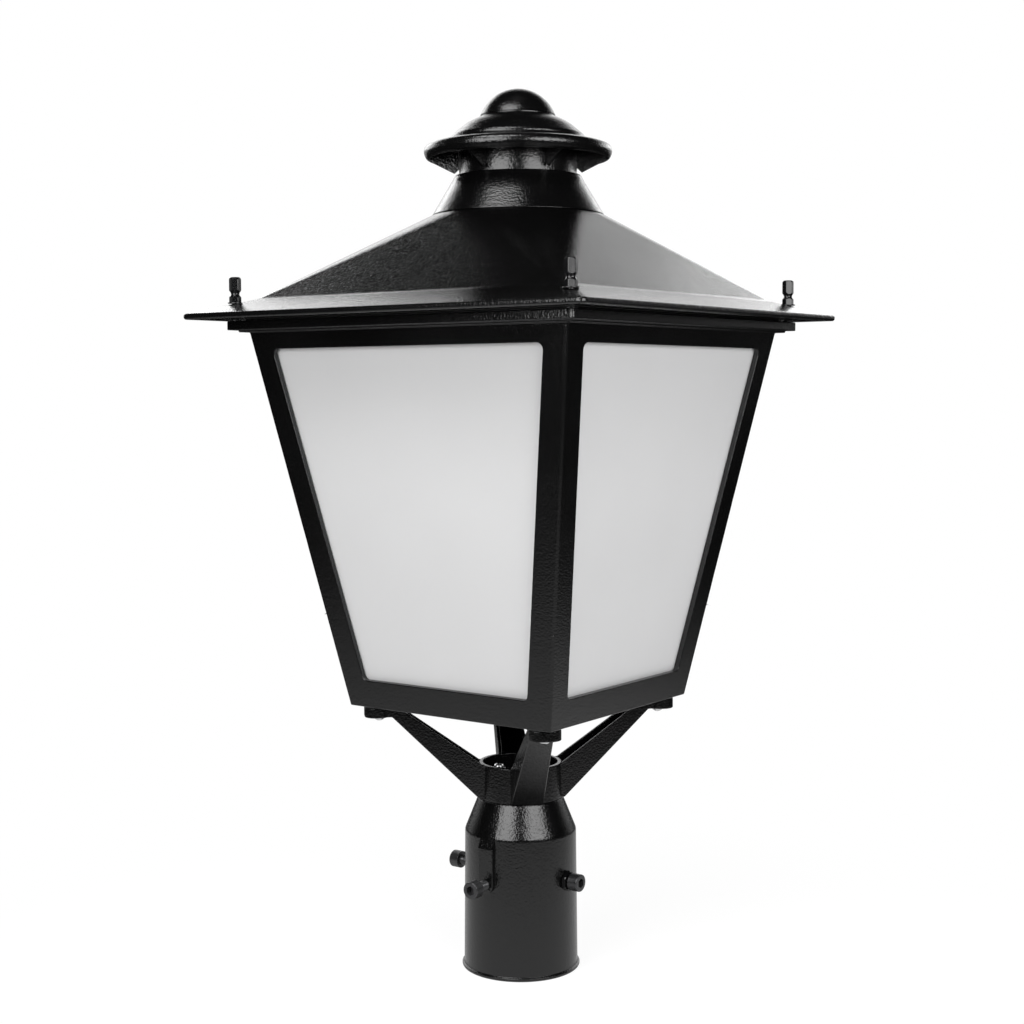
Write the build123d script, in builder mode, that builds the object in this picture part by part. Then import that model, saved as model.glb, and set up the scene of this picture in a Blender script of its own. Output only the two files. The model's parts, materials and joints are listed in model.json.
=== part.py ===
from build123d import *
import os
from math import asin, atan, cos, degrees, hypot, radians, sin

# Post top lantern. Millimetres, +Z up, origin on the post axis at the collar's bottom rim.
# The wide front of the lantern looks along -Y.

# Post fitter: collar, rolled lip, shoulder and clamp pad
bore_r = 39.0
bore_depth = 104.0
collar_height = 108.4
collar_low_wall = 5.5
collar_top_wall = 4.4
lip_wall = 7.1
lip_height = 2.8
lip_bevel = 0.9
shoulder_height = 24.7
shoulder_edge = 0.9
shoulder_step = 0.4
stop_ledge = 5.0
throat_r = 26.0
fitter_plate = 5.0
wire_hole_r = 9.0
boss_half_width = 6.65
boss_wall = 7.4
boss_bite = 2.0
cut_margin = 1.0

# Clamp screws and their jam nuts
clamp_height = 73.2
clamp_shank_r = 4.0
clamp_head_r = 6.7
clamp_head_height = 8.4
clamp_head_bevel = 0.9
clamp_socket = 6.6
clamp_socket_depth = 4.6
clamp_tip_gap = 0.6
clamp_fit = 0.06
clamp_reach = {"front": 26.1, "right": 17.9, "back": 22.0, "left": 27.5}
nut_flats = 14.0
nut_height = 3.0
nut_gap = 0.3
nut_bevel = 0.6

# Hub and arms
hub_low_r = 33.0
hub_top_r = 32.2
hub_wall = 3.2
hub_height = 27.2
hub_floor = 5.0
hub_screw_pitch_r = 17.0
hub_post_r = 5.5
hub_post_height = 23.0
arm_low_width = 25.5
arm_high_width = 17.7
arm_wall = 3.0
arm_foot_inset = 5.0
arm_rise = 66.3
arm_inner_inset = 2.0
arm_inner_end = 15.7
lug_thickness = 7.7
lug_length = 19.0
lug_width = 23.5
lug_rounding = 8.5
lug_shift = 2.1
lug_overhang = 11.2
lug_root = 19.7
pad_thickness = 1.5

# Cage
cage_height = 284.4
cage_low_half = 93.4
cage_high_half = 144.7
cage_corner_r = 2.0
wall = 4.0
window_sill = 21.6
window_head = 13.1
window_low_half = 76.3
window_high_half = 122.7
window_corner_r = 4.5
rebate_lap = 7.0
rebate_play = 0.4
ledge_proud = 5.9
ledge_height = 1.5
flange_proud = 5.9
flange_height = 6.6
flange_corner_r = 2.0
floor_rim = 5.0
floor_rim_inset = 5.4
floor_rim_width = 26.0
arm_screw_inset = 15.9
cage_boss_r = 7.5
cage_boss_height = 8.0
cage_boss_skin = 1.0

# Panes, seals and retainers
pane_thickness = 3.0
seal_thickness = 0.8
seal_inset = 1.0
strip_thickness = 1.5
strip_width = 16.0
strip_low_half = 58.0
strip_high_half = 98.0
strip_screw_low = 42.0
strip_screw_high = 78.0
strip_screw_from_edge = 5.0

# Floor tray and cable gland
tray_lap = 18.0
tray_corner = 30.0
tray_thickness = 1.5
tray_lip = 6.0
tray_screw_lap = 8.0
gland_y = 44.0
gland_r = 8.0
gland_flats = 22.0
gland_hex_height = 6.0
gland_hole_r = 4.0
gland_dome_height = 7.0
gland_thread_end = 2.0
gland_nut_height = 4.5
gland_play = 0.3

# Roof
seal_height = 1.2
seal_width = 7.5
seal_setback = 1.0
eave_half = 180.0
eave_corner_r = 5.0
eave_lip = 4.2
lip_edge = 1.2
crease_half = 142.85
crease_rise = 15.3
crease_corner_r = 9.0
roof_rise = 64.2
roof_top_half = 64.5
roof_corner_play = 0.5
corner_steps = 12
roof_wall = 4.0
cavity_side_wall = 4.85
cavity_corner_r = 6.0
roof_opening_r = 50.0
drip_from_edge = 10.0
drip_width = 11.0
drip_depth = 4.0
gear_boss_inset = 43.0
gear_boss_r = 5.5

# Roof studs
stud_from_flange = 5.0
stud_flats = 8.0
stud_shank_r = 2.45
stud_thread_r = 2.5
stud_hole_r = 3.3
stud_floor = 12.0
stud_recess_r = 7.2
stud_washer_r = 5.6
stud_washer_height = 0.8
stud_low_hex = 4.8
stud_neck = 3.2
stud_neck_r = 3.2
stud_high_hex = 10.8
stud_taper = 0.7
stud_turn = 12.0
stud_reach = 5.4
clip_outer_r = 4.6
clip_thickness = 0.6
clip_gap = 0.3

# Vent cone, cap and finial
cone_base_r = 64.4
cone_top_r = 48.6
cone_rim_r = 47.2
cone_rise = 26.4
cone_rim_rise = 3.1
cone_wall = 3.6
cone_foot = 4.5
cone_foot_width = 12.9
cone_screw_inset = 8.9
spigot_r = 45.0
spigot_wall = 4.0
spigot_play = 0.3
spigot_depth = 11.2
shelf_height = 4.0
shelf_width = 9.3
cap_clearance = 12.8
cap_land_r = 27.4
crown_mid_r = 41.8
crown_mid_drop = 9.0
crown_edge_r = 45.6
crown_edge_drop = 12.4
crown_low_r = 47.0
crown_rise = 15.4
ring_r = 47.8
ring_fall = 0.6
ring_height = 1.4
ring_foot = 1.2
brim_root_r = 49.2
brim_shoulder_r = 66.0
brim_fall = 2.8
brim_top_r = 69.6
brim_top_fall = 1.0
brim_r = 72.1
brim_roll = 9.6
brim_roll_mid = 5.0
brim_bevel = 0.6
brim_bevel_rise = 2.4
brim_low_r = 69.4
brim_recess_r = 66.5
brim_recess = 6.0
cap_ceiling_rise = 9.0
rib_count = 6
rib_turn = -86.5
rib_thickness = 2.4
rib_outer_r = 69.0
rib_edge = 6.0
rib_tip_r = 48.6
rib_tip_drop = 16.2
rib_root_drop = 12.0
rib_bite = 1.0
finial_r = 27.7
finial_neck_r = 26.2
finial_neck = 2.2
finial_rise = 21.0
dome_steps = 5
rod_r = 3.0
rod_hole_r = 3.4
rod_below_shelf = 13.0
rod_in_finial = 11.0
rod_end_gap = 1.0
strap_length = 84.0
strap_width = 18.0
strap_thickness = 3.0
rod_nut_flats = 10.0
rod_nut_height = 5.0

# Light engine and gear under the roof
gear_tray_inset = 26.0
gear_tray_corner_r = 8.0
gear_tray_rise = 6.8
gear_tray_thickness = 2.0
board_size = 106.0
board_thickness = 1.6
chip_size = 3.5
chip_height = 0.9
chip_pitch = 17.0
chip_rows = 6
lens_half = 84.0
lens_corner_r = 20.0
lens_depth = 14.5
lens_wall = 2.5
lens_flange = 6.0
lens_rim = 2.2
lens_edge = 2.0
ring_play = 0.6
ring_proud = 8.0
ring_thickness = 1.6
ring_screw_from_edge = 4.2
sink_width = 100.0
sink_length = 96.0
sink_base = 5.0
sink_fin_height = 18.0
sink_fin_thickness = 2.4
sink_fins = 9
sink_y = -34.0
driver_length = 124.0
driver_width = 40.0
driver_height = 27.0
driver_y = 62.0
driver_edge = 2.0
bracket_width = 14.0
bracket_foot = 12.0
bracket_thickness = 1.6
bracket_x = 42.0
terminal_x = 86.0
terminal_length = 34.0
terminal_width = 16.0
terminal_height = 13.0
terminal_ways = 3
terminal_well_r = 3.2
terminal_well_depth = 7.0
earth_x = -86.0

# Screw sizes: head radius, head height, shank radius
m5_head_r, m5_head_height, m5_shank_r = 4.3, 3.6, 2.4
m4_head_r, m4_head_height, m4_shank_r = 3.9, 3.0, 1.9
m3_head_r, m3_head_height, m3_shank_r = 2.8, 2.0, 1.4
thread_fit = 0.08
screw_clearance = 0.4
screw_sides = 8
ring_sides = 16
# Pan heads: bevel and cross recess as shares of the head
head_bevel = 0.4
recess_length = 0.62
recess_width = 0.26
recess_depth = 0.5
arm_screw_bite = 8.3
hub_screw_bite = 4.0
cone_screw_bite = 4.0
strip_screw_bite = 4.0
tray_screw_bite = 3.5
bracket_screw_bite = 1.8
gear_screw_bite = 7.0

# Radii and half widths that follow from the ones above
sides = (0, 90, 180, 270)
diagonals = (45, 135, 225, 315)
collar_low_r = bore_r + collar_low_wall
collar_top_r = bore_r + collar_top_wall
lip_r = bore_r + lip_wall
boss_face = bore_r + boss_wall
boss_root = bore_r + boss_bite
collar_fall = (collar_low_r - collar_top_r) / collar_height
nut_seat = collar_low_r - collar_fall * clamp_height + nut_gap
shoulder_r = hub_low_r + shoulder_step
fitter_top_r = hub_low_r - shoulder_step
arm_foot_r = hub_low_r - arm_foot_inset
arm_inner_low_r = hub_low_r - arm_inner_inset
arm_screw_offset = cage_low_half - arm_screw_inset
lug_centre_r = hypot(arm_screw_offset, arm_screw_offset) + lug_shift
lug_root_r = lug_centre_r - lug_root
arm_end_r = lug_centre_r - lug_overhang
arm_inner_high_r = lug_centre_r - arm_inner_end
ledge_half = cage_high_half + ledge_proud
flange_half = ledge_half + flange_proud
floor_rim_outer_half = cage_low_half - floor_rim_inset
floor_opening_half = floor_rim_outer_half - floor_rim_width
tray_half = floor_opening_half + tray_lap
tray_screw_offset = floor_opening_half + tray_screw_lap
cavity_half = crease_half - cavity_side_wall
roof_seal_inner_half = cavity_half + seal_setback
roof_seal_outer_half = roof_seal_inner_half + seal_width
cavity_top_half = roof_top_half - roof_wall
drip_outer_half = eave_half - drip_from_edge
drip_inner_half = drip_outer_half - drip_width
gear_boss_offset = cavity_half - gear_boss_inset
gear_tray_half = cavity_half - gear_tray_inset
stud_offset = flange_half - stud_from_flange
cone_foot_r = cone_base_r - cone_foot_width
cone_screw_pitch_r = cone_base_r - cone_screw_inset
shelf_r = spigot_r + spigot_play - shelf_width
ring_screw_offset = lens_half + lens_flange + ring_proud - ring_screw_from_edge

# Heights that follow, from the collar up to the finial
clamp_z = clamp_height
collar_top_z = collar_height
shoulder_z = collar_top_z + shoulder_height
fitter_top_z = shoulder_z + shoulder_edge
hub_top_z = fitter_top_z + hub_height
hub_post_z = fitter_top_z + hub_post_height
arm_end_z = fitter_top_z + arm_rise
lug_top_z = arm_end_z + lug_thickness
cage_low_z = lug_top_z + pad_thickness
floor_rim_z = cage_low_z + floor_rim
cage_high_z = cage_low_z + cage_height
flange_low_z = cage_high_z + ledge_height
flange_top_z = flange_low_z + flange_height
roof_low_z = flange_top_z + seal_height
lip_top_z = roof_low_z + eave_lip
stud_floor_z = roof_low_z + stud_floor
stud_seat_z = stud_floor_z + stud_washer_height
crease_z = roof_low_z + crease_rise
roof_top_z = crease_z + roof_rise
plate_z = roof_top_z - roof_wall
cone_slope_top_z = roof_top_z + cone_rise
cone_top_z = cone_slope_top_z + cone_rim_rise
shelf_z = cone_top_z - spigot_depth
shelf_low_z = shelf_z - shelf_height
strap_z = shelf_low_z - strap_thickness
brim_low_z = cone_top_z + cap_clearance
brim_mid_z = brim_low_z + brim_roll_mid
brim_top_z = brim_low_z + brim_roll
brim_shoulder_z = brim_top_z + brim_top_fall
brim_root_z = brim_shoulder_z + brim_fall
ring_z = brim_root_z + ring_foot
crown_low_z = ring_z + ring_height + ring_fall
cap_land_z = crown_low_z + crown_rise
crown_mid_z = cap_land_z - crown_mid_drop
crown_edge_z = cap_land_z - crown_edge_drop
brim_recess_z = brim_low_z + brim_recess
cap_ceiling_z = brim_recess_z + cap_ceiling_rise
rib_outer_z = brim_recess_z - rib_edge
rib_tip_z = brim_recess_z - rib_tip_drop
rib_root_z = brim_recess_z - rib_root_drop
finial_top_z = cap_land_z + finial_rise
rod_low_z = shelf_low_z - rod_below_shelf
rod_high_z = cap_land_z + rod_in_finial
gear_tray_z = roof_low_z + gear_tray_rise
gear_top_z = gear_tray_z + gear_tray_thickness
board_z = gear_tray_z - board_thickness
lens_low_z = gear_tray_z - lens_depth
ring_z_high = gear_tray_z - lens_rim

# Slopes, pane windows and screw lengths that follow
frame_depth = wall + seal_thickness + pane_thickness
cage_slope = (cage_high_half - cage_low_half) / cage_height
cage_lean = degrees(atan(cage_slope))
cage_top_half = cage_low_half + cage_slope * (flange_top_z - cage_low_z)
frame_inset = frame_depth / cos(radians(cage_lean))
window_low = window_sill
window_high = hypot(cage_height, cage_high_half - cage_low_half) - window_head
window_lean = (window_high_half - window_low_half) / (window_high - window_low)
arm_screw_length = lug_thickness + pad_thickness + arm_screw_bite
hub_screw_length = hub_post_height + hub_screw_bite
cone_screw_length = roof_wall + cone_screw_bite
strip_screw_length = strip_thickness + strip_screw_bite
tray_screw_length = tray_thickness + tray_screw_bite
gear_screw_length = gear_tray_thickness + gear_screw_bite
bracket_screw_length = bracket_thickness + bracket_screw_bite


def radial_plane(angle, distance=0.0):
    """Upright plane facing outward from the post axis; its local y is the height."""
    outward = Vector(cos(radians(angle)), sin(radians(angle)), 0)
    tangent = Vector(-outward.Y, outward.X, 0)
    return Plane(origin=outward * distance, x_dir=tangent, z_dir=outward)


def meridian_plane(angle):
    """Upright plane through the post axis; local x is the radius and y the height."""
    outward = Vector(cos(radians(angle)), sin(radians(angle)), 0)
    return Plane(origin=(0, 0, 0), x_dir=outward, z_dir=outward.cross(Vector(0, 0, 1)))


def pane_plane(angle, depth=0.0):
    """Outer face of one cage side; local y climbs the slope from the bottom rail."""
    outward = Vector(cos(radians(angle)), sin(radians(angle)), 0)
    tangent = Vector(-outward.Y, outward.X, 0)
    lean = radians(cage_lean)
    normal = outward * cos(lean) - Vector(0, 0, sin(lean))
    foot = outward * cage_low_half + Vector(0, 0, cage_low_z)
    return Plane(origin=foot - normal * depth, x_dir=tangent, z_dir=normal)


def window_outline(margin):
    """Corners of a window, grown by a margin on every side."""
    side = margin * hypot(1, window_lean)
    low = window_low_half - margin * window_lean + side
    high = window_high_half + margin * window_lean + side
    bottom = window_low - margin
    top = window_high + margin
    return [(-low, bottom), (low, bottom), (high, top), (-high, top)]


def square_outline(half, corner_r):
    """Corners of a square whose rounded corners turn in equal steps."""
    reach = half - corner_r
    outline = []
    for turn, (x_sign, y_sign) in enumerate(((1, 1), (-1, 1), (-1, -1), (1, -1))):
        for step in range(corner_steps + 1):
            angle = radians(90 * (turn + step / corner_steps))
            outline.append((x_sign * reach + corner_r * cos(angle),
                            y_sign * reach + corner_r * sin(angle)))
    return outline


def flat_sided(low_plane, low_outline, high_plane, high_outline):
    """Body between two outlines with parallel edges, so that every side is flat."""
    low = [low_plane.from_local_coords((x, y, 0)) for x, y in low_outline]
    high = [high_plane.from_local_coords((x, y, 0)) for x, y in high_outline]
    walls = [Face(Wire.make_polygon(low)), Face(Wire.make_polygon(high))]
    for index, corner in enumerate(low):
        before = index - 1
        strip = Wire.make_polygon([low[before], corner, high[index], high[before]])
        walls.append(Face(strip))
    return Solid(Shell(walls))


def square_frustum(low_z, low_half, low_r, high_z, high_half, high_r):
    """Body between two rounded squares on the post axis."""
    return flat_sided(Plane.XY.offset(low_z), square_outline(low_half, low_r),
                      Plane.XY.offset(high_z), square_outline(high_half, high_r))


def draft_body(low_z, top_z, top_half, lean):
    """Square body below a level, its sides leaning in towards the foot."""
    seat = Plane(origin=(0, 0, top_z), x_dir=(1, 0, 0), z_dir=(0, 0, -1))
    with BuildPart() as body:
        with BuildSketch(seat):
            Rectangle(2 * top_half, 2 * top_half)
        extrude(amount=top_z - low_z, taper=lean)
    return body.part


def pan_screw(head_r, head_height, shank_r, length):
    """Pan-head screw: head above the local origin, shank below it."""
    with BuildPart() as screw:
        with BuildSketch():
            RegularPolygon(head_r, screw_sides)
        extrude(amount=head_height)
        chamfer(screw.faces().sort_by(Axis.Z)[-1].edges(), head_height * head_bevel)
        with BuildSketch():
            RegularPolygon(shank_r, screw_sides)
        extrude(amount=-length)
    return screw.part


def driven_screw(head_r, head_height, shank_r, length):
    """Pan-head screw with the cross recess that takes the driver."""
    slot_length = 2 * head_r * recess_length
    slot_width = head_r * recess_width
    with BuildPart() as screw:
        add(pan_screw(head_r, head_height, shank_r, length))
        with BuildSketch(Plane.XY.offset(head_height)):
            Rectangle(slot_length, slot_width)
            Rectangle(slot_width, slot_length)
        extrude(amount=-head_height * recess_depth, mode=Mode.SUBTRACT)
    return screw.part


def clamp_screw(angle, head_face):
    """Socket-head cap screw aimed at the post axis, its tip just short of the bore."""
    tip = bore_r + clamp_tip_gap
    head_seat = head_face - clamp_head_height
    with BuildPart() as screw:
        with BuildSketch(radial_plane(angle, tip)):
            with Locations((0, clamp_z)):
                Circle(clamp_shank_r)
        extrude(amount=head_seat - tip)
        with BuildSketch(radial_plane(angle, head_seat)):
            with Locations((0, clamp_z)):
                Circle(clamp_head_r)
        extrude(amount=clamp_head_height)
        rims = screw.edges().filter_by(GeomType.CIRCLE)
        outermost = rims.sort_by(lambda rim: rim.center().dot(radial_plane(angle).z_dir))[-1]
        chamfer(outermost, clamp_head_bevel)
        with BuildSketch(radial_plane(angle, head_face)):
            with Locations((0, clamp_z)):
                RegularPolygon(clamp_socket / 2, 6, major_radius=False)
        extrude(amount=-clamp_socket_depth, mode=Mode.SUBTRACT)
    return screw.part


# Post fitter
with BuildPart() as post_fitter:
    with BuildSketch(Plane.XZ):
        with BuildLine():
            Polyline((bore_r, 0), (lip_r - lip_bevel, 0), (lip_r, lip_bevel),
                     (lip_r, lip_height), (collar_low_r, lip_height),
                     (collar_top_r, collar_top_z), (shoulder_r, shoulder_z),
                     (fitter_top_r, fitter_top_z), (wire_hole_r, fitter_top_z),
                     (wire_hole_r, fitter_top_z - fitter_plate),
                     (throat_r, fitter_top_z - fitter_plate),
                     (bore_r - stop_ledge, bore_depth), (bore_r, bore_depth), close=True)
        make_face()
    revolve()
    with BuildSketch(Plane.XZ.offset(boss_root)):
        with Locations((0, clamp_z)):
            Circle(boss_half_width)
        with Locations((0, (clamp_z + collar_top_z) / 2)):
            Rectangle(2 * boss_half_width, collar_top_z - clamp_z)
    extrude(amount=boss_face - boss_root)
    shoulder_fall = (shoulder_z - collar_top_z) / (collar_top_r - shoulder_r)
    boss_outer = boss_face + cut_margin
    with BuildSketch(Plane.YZ):
        with BuildLine():
            Polyline((-collar_top_r, collar_top_z), (-boss_outer, collar_top_z),
                     (-boss_outer, collar_top_z - shoulder_fall * (boss_outer - collar_top_r)),
                     close=True)
        make_face()
    extrude(amount=boss_half_width + cut_margin, both=True, mode=Mode.SUBTRACT)
    for side in sides:
        with BuildSketch(radial_plane(side, bore_r - stop_ledge)):
            with Locations((0, clamp_z)):
                Circle(clamp_shank_r + clamp_fit)
        extrude(amount=boss_outer - bore_r + stop_ledge, mode=Mode.SUBTRACT)
    with BuildSketch(Plane.XY.offset(fitter_top_z)):
        with PolarLocations(hub_screw_pitch_r, 2, start_angle=45):
            RegularPolygon(m4_shank_r + thread_fit, screw_sides)
    extrude(amount=-fitter_plate, mode=Mode.SUBTRACT)
post_fitter.part.label = "post_fitter"

# Clamp screws and jam nuts
clamp_screw_front = clamp_screw(270, bore_r + clamp_reach["front"])
clamp_screw_front.label = "clamp_screw_front"
clamp_screw_right = clamp_screw(0, bore_r + clamp_reach["right"])
clamp_screw_right.label = "clamp_screw_right"
clamp_screw_back = clamp_screw(90, bore_r + clamp_reach["back"])
clamp_screw_back.label = "clamp_screw_back"
clamp_screw_left = clamp_screw(180, bore_r + clamp_reach["left"])
clamp_screw_left.label = "clamp_screw_left"

with BuildPart() as clamp_jam_nuts:
    for side in (0, 90, 180):
        with BuildSketch(radial_plane(side, nut_seat)):
            with Locations((0, clamp_z)):
                RegularPolygon(nut_flats / 2, 6, major_radius=False)
        extrude(amount=nut_height)
        with BuildSketch(radial_plane(side, nut_seat)):
            with Locations((0, clamp_z)):
                Circle(clamp_shank_r + clamp_fit)
        extrude(amount=nut_height, mode=Mode.SUBTRACT)
    outer_faces = clamp_jam_nuts.faces().filter_by(
        lambda face: abs(hypot(face.center().X, face.center().Y) - nut_seat - nut_height) < 0.01)
    chamfer(outer_faces.edges().filter_by(GeomType.LINE), nut_bevel)
clamp_jam_nuts.part.label = "clamp_jam_nuts"

# Arm spider: hub, channel arms and lugs
arm_outer_slope = (arm_end_z - fitter_top_z) / (arm_end_r - hub_low_r)
arm_inner_slope = (lug_top_z - hub_top_z) / (arm_inner_high_r - arm_inner_low_r)
web_rise = arm_wall * hypot(1, arm_outer_slope)


def arm_section(radius, inset, floor_rise, headroom):
    """Corners of an arm's upright section at a distance from the post axis."""
    run = (radius - arm_foot_r) / (arm_end_r - arm_foot_r)
    half = (arm_low_width + run * (arm_high_width - arm_low_width)) / 2 - inset
    low = arm_end_z - arm_outer_slope * (arm_end_r - radius) + floor_rise
    high = hub_top_z + arm_inner_slope * (radius - arm_inner_low_r) + headroom
    return [(-half, low), (half, low), (half, high), (-half, high)]


with BuildPart() as arm_spider:
    for diagonal in diagonals:
        add(flat_sided(radial_plane(diagonal, arm_foot_r), arm_section(arm_foot_r, 0, 0, 0),
                       radial_plane(diagonal, arm_end_r), arm_section(arm_end_r, 0, 0, 0)))
    for diagonal in diagonals:
        add(flat_sided(radial_plane(diagonal, arm_foot_r),
                       arm_section(arm_foot_r, arm_wall, web_rise, hub_height),
                       radial_plane(diagonal, lug_root_r),
                       arm_section(lug_root_r, arm_wall, web_rise, hub_height)),
            mode=Mode.SUBTRACT)
    with BuildSketch(Plane.XY.offset(lug_top_z)):
        Circle(2 * lug_centre_r)
    extrude(amount=hub_height, mode=Mode.SUBTRACT)
    with BuildSketch(Plane.XY.offset(fitter_top_z)):
        Circle(2 * hub_low_r)
    extrude(amount=-hub_height, mode=Mode.SUBTRACT)
    with BuildSketch(Plane.XZ):
        with BuildLine():
            Polyline((0, fitter_top_z), (hub_low_r, fitter_top_z), (hub_top_r, hub_top_z),
                     (0, hub_top_z), close=True)
        make_face()
    revolve()
    with BuildSketch(Plane.XY.offset(fitter_top_z + hub_floor)):
        Circle(hub_top_r - hub_wall)
    extrude(amount=lug_top_z - fitter_top_z - hub_floor, mode=Mode.SUBTRACT)
    with BuildSketch(Plane.XY.offset(fitter_top_z)):
        with PolarLocations(hub_screw_pitch_r, 2, start_angle=45):
            Circle(hub_post_r)
    extrude(amount=hub_post_z - fitter_top_z)
    for diagonal in diagonals:
        with BuildSketch(meridian_plane(diagonal)):
            with BuildLine():
                Polyline((lug_root_r - arm_wall, lug_top_z), (lug_root_r, arm_end_z),
                         (lug_centre_r, arm_end_z), (lug_centre_r, lug_top_z), close=True)
            make_face()
        extrude(amount=arm_high_width / 2, both=True)
    with BuildSketch(Plane.XY.offset(arm_end_z)):
        with PolarLocations(lug_centre_r, len(diagonals), start_angle=45):
            RectangleRounded(lug_length, lug_width, lug_rounding)
    extrude(amount=lug_top_z - arm_end_z)
    with BuildSketch(Plane.XY.offset(arm_end_z)):
        with GridLocations(2 * arm_screw_offset, 2 * arm_screw_offset, 2, 2):
            RegularPolygon(m5_shank_r + screw_clearance, screw_sides)
    extrude(amount=lug_top_z - arm_end_z, mode=Mode.SUBTRACT)
    with BuildSketch(Plane.XY.offset(fitter_top_z)):
        Circle(wire_hole_r)
        with PolarLocations(hub_screw_pitch_r, 2, start_angle=45):
            RegularPolygon(m4_shank_r + screw_clearance, screw_sides)
    extrude(amount=hub_height, mode=Mode.SUBTRACT)
arm_spider.part.label = "arm_spider"

with BuildPart() as hub_screws:
    hub_screw = driven_screw(m4_head_r, m4_head_height, m4_shank_r, hub_screw_length)
    with Locations((0, 0, hub_post_z)):
        with PolarLocations(hub_screw_pitch_r, 2, start_angle=45):
            add(hub_screw)
hub_screws.part.label = "hub_screws"

with BuildPart() as arm_screws:
    arm_screw = driven_screw(m5_head_r, m5_head_height, m5_shank_r, arm_screw_length)
    for x in (-arm_screw_offset, arm_screw_offset):
        for y in (-arm_screw_offset, arm_screw_offset):
            with Locations(Location((x, y, arm_end_z), (180, 0, 0))):
                add(arm_screw)
arm_screws.part.label = "arm_screws"

with BuildPart() as arm_pads:
    with BuildSketch(Plane.XY.offset(lug_top_z)):
        with PolarLocations(lug_centre_r, len(diagonals), start_angle=45):
            RectangleRounded(lug_length, lug_width, lug_rounding)
        with GridLocations(2 * arm_screw_offset, 2 * arm_screw_offset, 2, 2):
            RegularPolygon(m5_shank_r + screw_clearance, screw_sides, mode=Mode.SUBTRACT)
    extrude(amount=cage_low_z - lug_top_z)
arm_pads.part.label = "arm_pads"

# Cage: tapered frame, top flange, bottom rim, pane rebates
with BuildPart() as cage_frame:
    add(draft_body(cage_low_z, flange_top_z, cage_top_half, cage_lean))
    corner_edges = cage_frame.edges().filter_by(
        lambda edge: cage_low_z + wall < edge.center().Z < flange_top_z - wall)
    fillet(corner_edges, cage_corner_r)
    with BuildSketch(Plane.XY.offset(cage_high_z)):
        RectangleRounded(2 * ledge_half, 2 * ledge_half, flange_corner_r)
    extrude(amount=flange_top_z - cage_high_z)
    with BuildSketch(Plane.XY.offset(flange_low_z)):
        RectangleRounded(2 * flange_half, 2 * flange_half, flange_corner_r)
    extrude(amount=flange_top_z - flange_low_z)
    add(draft_body(cage_low_z, flange_top_z, cage_top_half - frame_inset, cage_lean),
        mode=Mode.SUBTRACT)
    with BuildSketch(Plane.XY.offset(cage_low_z)):
        Rectangle(2 * floor_rim_outer_half, 2 * floor_rim_outer_half)
        Rectangle(2 * floor_opening_half, 2 * floor_opening_half, mode=Mode.SUBTRACT)
    extrude(amount=floor_rim)
    with BuildSketch(Plane.XY.offset(cage_low_z)):
        with GridLocations(2 * arm_screw_offset, 2 * arm_screw_offset, 2, 2):
            Circle(cage_boss_r)
    extrude(amount=floor_rim + cage_boss_height)
    with BuildSketch(Plane.XY.offset(cage_low_z)):
        with GridLocations(2 * arm_screw_offset, 2 * arm_screw_offset, 2, 2):
            RegularPolygon(m5_shank_r + thread_fit, screw_sides)
    extrude(amount=floor_rim + cage_boss_height - cage_boss_skin, mode=Mode.SUBTRACT)
    with BuildSketch(Plane.XY.offset(floor_rim_z)):
        with Locations((0, -tray_screw_offset), (0, tray_screw_offset)):
            RegularPolygon(m3_shank_r + thread_fit, screw_sides)
        with Locations((-tray_screw_offset, 0), (tray_screw_offset, 0)):
            RegularPolygon(m3_shank_r + thread_fit, screw_sides)
    extrude(amount=-floor_rim, mode=Mode.SUBTRACT)
    with BuildSketch(Plane.XY.offset(flange_top_z)):
        with GridLocations(2 * stud_offset, 2 * stud_offset, 2, 2):
            Circle(stud_thread_r)
    extrude(amount=-stud_reach - clip_thickness, mode=Mode.SUBTRACT)
    for side in sides:
        with BuildSketch(pane_plane(side)):
            Polygon(*window_outline(0), align=None)
            fillet(vertices(), window_corner_r)
        extrude(amount=-3 * frame_depth, mode=Mode.SUBTRACT)
        with BuildSketch(pane_plane(side, wall)):
            Polygon(*window_outline(rebate_lap + rebate_play), align=None)
        extrude(amount=-2 * frame_depth, mode=Mode.SUBTRACT)
        with BuildSketch(pane_plane(side, frame_depth)):
            with Locations((0, window_low - strip_width + strip_screw_from_edge)):
                with GridLocations(2 * strip_screw_low, 1, 2, 1):
                    RegularPolygon(m3_shank_r + thread_fit, screw_sides)
            with Locations((0, window_high + strip_width - strip_screw_from_edge)):
                with GridLocations(2 * strip_screw_high, 1, 2, 1):
                    RegularPolygon(m3_shank_r + thread_fit, screw_sides)
        extrude(amount=strip_screw_length, mode=Mode.SUBTRACT)
cage_frame.part.label = "cage_frame"

# Panes with their seals and retainer strips
panes = {}
for name, side in (("right", 0), ("back", 90), ("left", 180), ("front", 270)):
    with BuildPart() as pane:
        with BuildSketch(pane_plane(side, wall + seal_thickness + pane_thickness)):
            Polygon(*window_outline(rebate_lap), align=None)
        extrude(amount=pane_thickness)
    panes[name] = pane.part
    panes[name].label = f"pane_{name}"

with BuildPart() as pane_seals:
    for side in sides:
        with BuildSketch(pane_plane(side, wall + seal_thickness)):
            Polygon(*window_outline(rebate_lap), align=None)
            Polygon(*window_outline(seal_inset), align=None, mode=Mode.SUBTRACT)
        extrude(amount=seal_thickness)
pane_seals.part.label = "pane_seals"

strip_low_y = window_low - seal_inset - strip_width / 2
strip_high_y = window_high + seal_inset + strip_width / 2
strip_screw_low_y = window_low - strip_width + strip_screw_from_edge
strip_screw_high_y = window_high + strip_width - strip_screw_from_edge
strip_screw_points = [(x, strip_screw_low_y) for x in (-strip_screw_low, strip_screw_low)]
strip_screw_points += [(x, strip_screw_high_y) for x in (-strip_screw_high, strip_screw_high)]

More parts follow.
